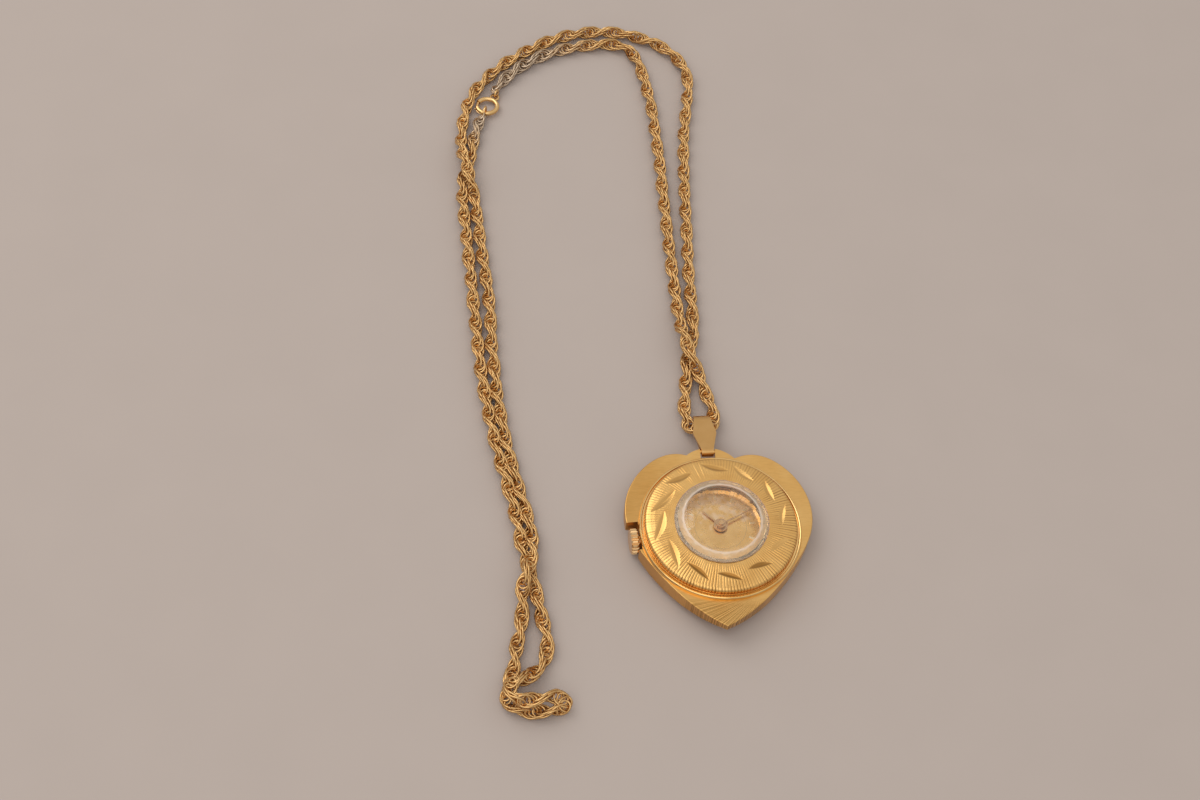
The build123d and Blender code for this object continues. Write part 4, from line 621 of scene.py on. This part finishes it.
def make_crystal():
    """Domed crystal with a band of zigzag facets between its foot and its table."""
    count = crystal_facets * facet_points
    points, band, starts = [], [], []
    for radius, height, haze_and_painted_sheen in crystal_rings:
        starts.append(len(points))
        here = [round_point(facet_radius(radius, height, index), index, count, height)
                for index in range(count if radius else 1)]
        points += here
        band += [haze_and_painted_sheen] * len(here)
    faces = []
    for row, (here, there) in enumerate(zip(starts, starts[1:])):
        for index in range(count):
            follow = (index + 1) % count
            near, far = (here + index, here + follow), (there + follow, there + index)
            if crystal_rings[row][0] == 0:
                faces.append((here, *far))
            elif crystal_rings[row + 1][0] == 0:
                faces.append((*near, there))
            elif crystal_rings[row][1] != facet_foot:
                faces.append((*near, *far))
            elif index % facet_points < facet_points // 2:
                faces += [(*near, far[1]), (near[1], *far)]
            else:
                faces += [(*near, far[0]), (near[0], *far)]
    made = piece("facetted_crystal", points, faces, crystal_clear, "case", smooth=False)
    store(made, "band", band)
    for polygon in made.data.polygons:
        corners = [made.data.vertices[v].co for v in polygon.vertices]
        polygon.use_smooth = max(hypot(c.x, c.y) / MM for c in corners) < dome_radius
    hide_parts("crystal")


# ---------------------------------------------------------------- printing on the dial
def make_track():
    """Two fine printed circles and the minute strokes between the dial's markers."""
    low, high = dial_top, dial_top + track_thickness
    points, faces = [], []
    for inner, outer in track_circles:
        faces += shifted(loop_faces(4, circle_points), len(points))
        for radius, height in ((inner, high), (outer, high), (outer, low), (inner, low)):
            points += [round_point(radius, index, circle_points, height) for index in range(circle_points)]
    for minute in range(60):
        angle = radians(6 * minute + dial_turn)
        out = (cos(angle), sin(angle))
        side = (-out[1], out[0])
        half = stroke_half if minute % 5 else hour_stroke_half
        faces += shifted(((3, 2, 1, 0), (4, 5, 6, 7), (0, 1, 5, 4), (1, 2, 6, 5), (2, 3, 7, 6),
                          (3, 0, 4, 7)), len(points))
        for height in (low, high):
            for radius, shift in ((stroke_start, -half), (stroke_end, -half), (stroke_end, half),
                                  (stroke_start, half)):
                points.append((radius * out[0] + shift * side[0], radius * out[1] + shift * side[1],
                               height))
    piece("dial_track", points, faces, track_ink, "case", smooth=False)


# ---------------------------------------------------------------- nodes of the model
node_materials = [
    (case_gold, ["case_body"]), (back_gold, ["case_back"]), (rim_gold, ["bezel_ring"]),
    (disc_gold, ["bezel_plate"]), (crystal_clear, ["crystal"]), (dial_gold, ["dial"]),
    (marker_gold, ["dial_ring", "dial_markers"]), (hand_gold, ["hour_hand", "minute_hand"]),
    (rose_gold, ["cannon_pinion"]), (bail_gold, ["bail"]), (crown_gold, ["crown"]),
    (clasp_gold, ["spring_ring", "clasp_gate", "jump_ring", "tag_ring"]),
    (nickel, ["movement_ring", "barrel_bridge", "train_bridge", "balance_cock", "pallet_bridge"]),
    (brass, ["main_plate", "mainspring_barrel", "center_wheel", "third_wheel", "fourth_wheel",
             "balance_wheel", "minute_wheel", "hour_wheel"]),
    (steel, ["winding_stem", "winding_pinion", "sliding_pinion", "setting_lever", "yoke", "setting_wheel",
             "barrel_arbor", "ratchet_wheel", "crown_wheel", "click", "escape_wheel", "pallet_fork",
             "bridge_screws"]),
    (spring_steel, ["mainspring", "hairspring"]), (ruby, ["jewels"])]


def dress_nodes():
    """Materials for the pieces that come from the model as they are."""
    for material, names in node_materials:
        for name in names:
            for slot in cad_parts[name].material_slots:
                slot.material = material


# ---------------------------------------------------------------- floor, light and camera
def make_floor():
    """Plain matt surface under the watch."""
    mesh = bpy.data.meshes.new("floor")
    corners = [(x * floor_half, y * floor_half, floor_height * MM)
               for x, y in ((-1, -1), (1, -1), (1, 1), (-1, 1))]
    mesh.from_pydata(corners, [], [(0, 1, 2, 3)])
    material, tree, shader = nodes_of("floor")
    low, high = (tuple(c * change for c in floor_colour) for change in (1 - floor_change, 1 + floor_change))
    tree.links.new(ramp(tree, noise(tree, 60.0), low, high), shader.inputs["Base Color"])
    shader.inputs["Roughness"].default_value = 0.9
    shader.inputs["Specular IOR Level"].default_value = 0.1
    mesh.materials.append(material)
    made = bpy.data.objects.new("floor", mesh)
    bpy.context.scene.collection.objects.link(made)


def make_world():
    """Pale surroundings, lighter overhead and darker towards the horizon."""
    world = bpy.data.worlds.new("studio")
    bpy.context.scene.world = world
    world.use_nodes = True
    tree = world.node_tree
    place = parts_of(tree, add(tree, "ShaderNodeTexCoord").outputs["Generated"])
    stops = [(height, tuple(shade * c for c in sky_tint)) for height, shade in sky_shades]
    background = tree.nodes["Background"]
    tree.links.new(graded(tree, place["Z"], stops), background.inputs["Color"])
    background.inputs["Strength"].default_value = 1.0


def area_light(name, place, size, power):
    """Round soft light that points at the middle of the watch and its chain."""
    data = bpy.data.lights.new(name, "AREA")
    data.shape = "DISK"
    data.size = size
    data.energy = power
    data.color = light_colour
    made = bpy.data.objects.new(name, data)
    made.location = place
    made.rotation_euler = (Vector(light_aim) - Vector(place)).to_track_quat("-Z", "Y").to_euler()
    bpy.context.scene.collection.objects.link(made)


def make_camera():
    """Camera at the photograph's elevation, rolled and then turned about the dial's axis."""
    data = bpy.data.cameras.new("camera")
    data.lens = camera_lens
    data.sensor_width = camera_sensor
    data.clip_start, data.clip_end = camera_near, camera_far
    made = bpy.data.objects.new("camera", data)
    bpy.context.scene.collection.objects.link(made)
    back = Vector((0, -cos(camera_elevation), sin(camera_elevation)))
    level = Vector((1, 0, 0))
    upward = Vector((0, sin(camera_elevation), cos(camera_elevation)))
    right = level * cos(camera_roll) + upward * sin(camera_roll)
    top = upward * cos(camera_roll) - level * sin(camera_roll)
    turned = Matrix.Rotation(-camera_turn, 3, "Z")
    place = Matrix([turned @ axis for axis in (right, top, back)]).transposed().to_4x4()
    place.translation = Vector(camera_place) * MM
    made.matrix_world = place
    bpy.context.scene.camera = made


make_chain()
make_disc()
make_crystal()
make_track()
dress_nodes()
make_floor()
make_world()
area_light("key", key_place, key_size, key_power)
area_light("fill", fill_place, fill_size, fill_power)
make_camera()
bpy.context.scene.view_settings.view_transform = "Standard"
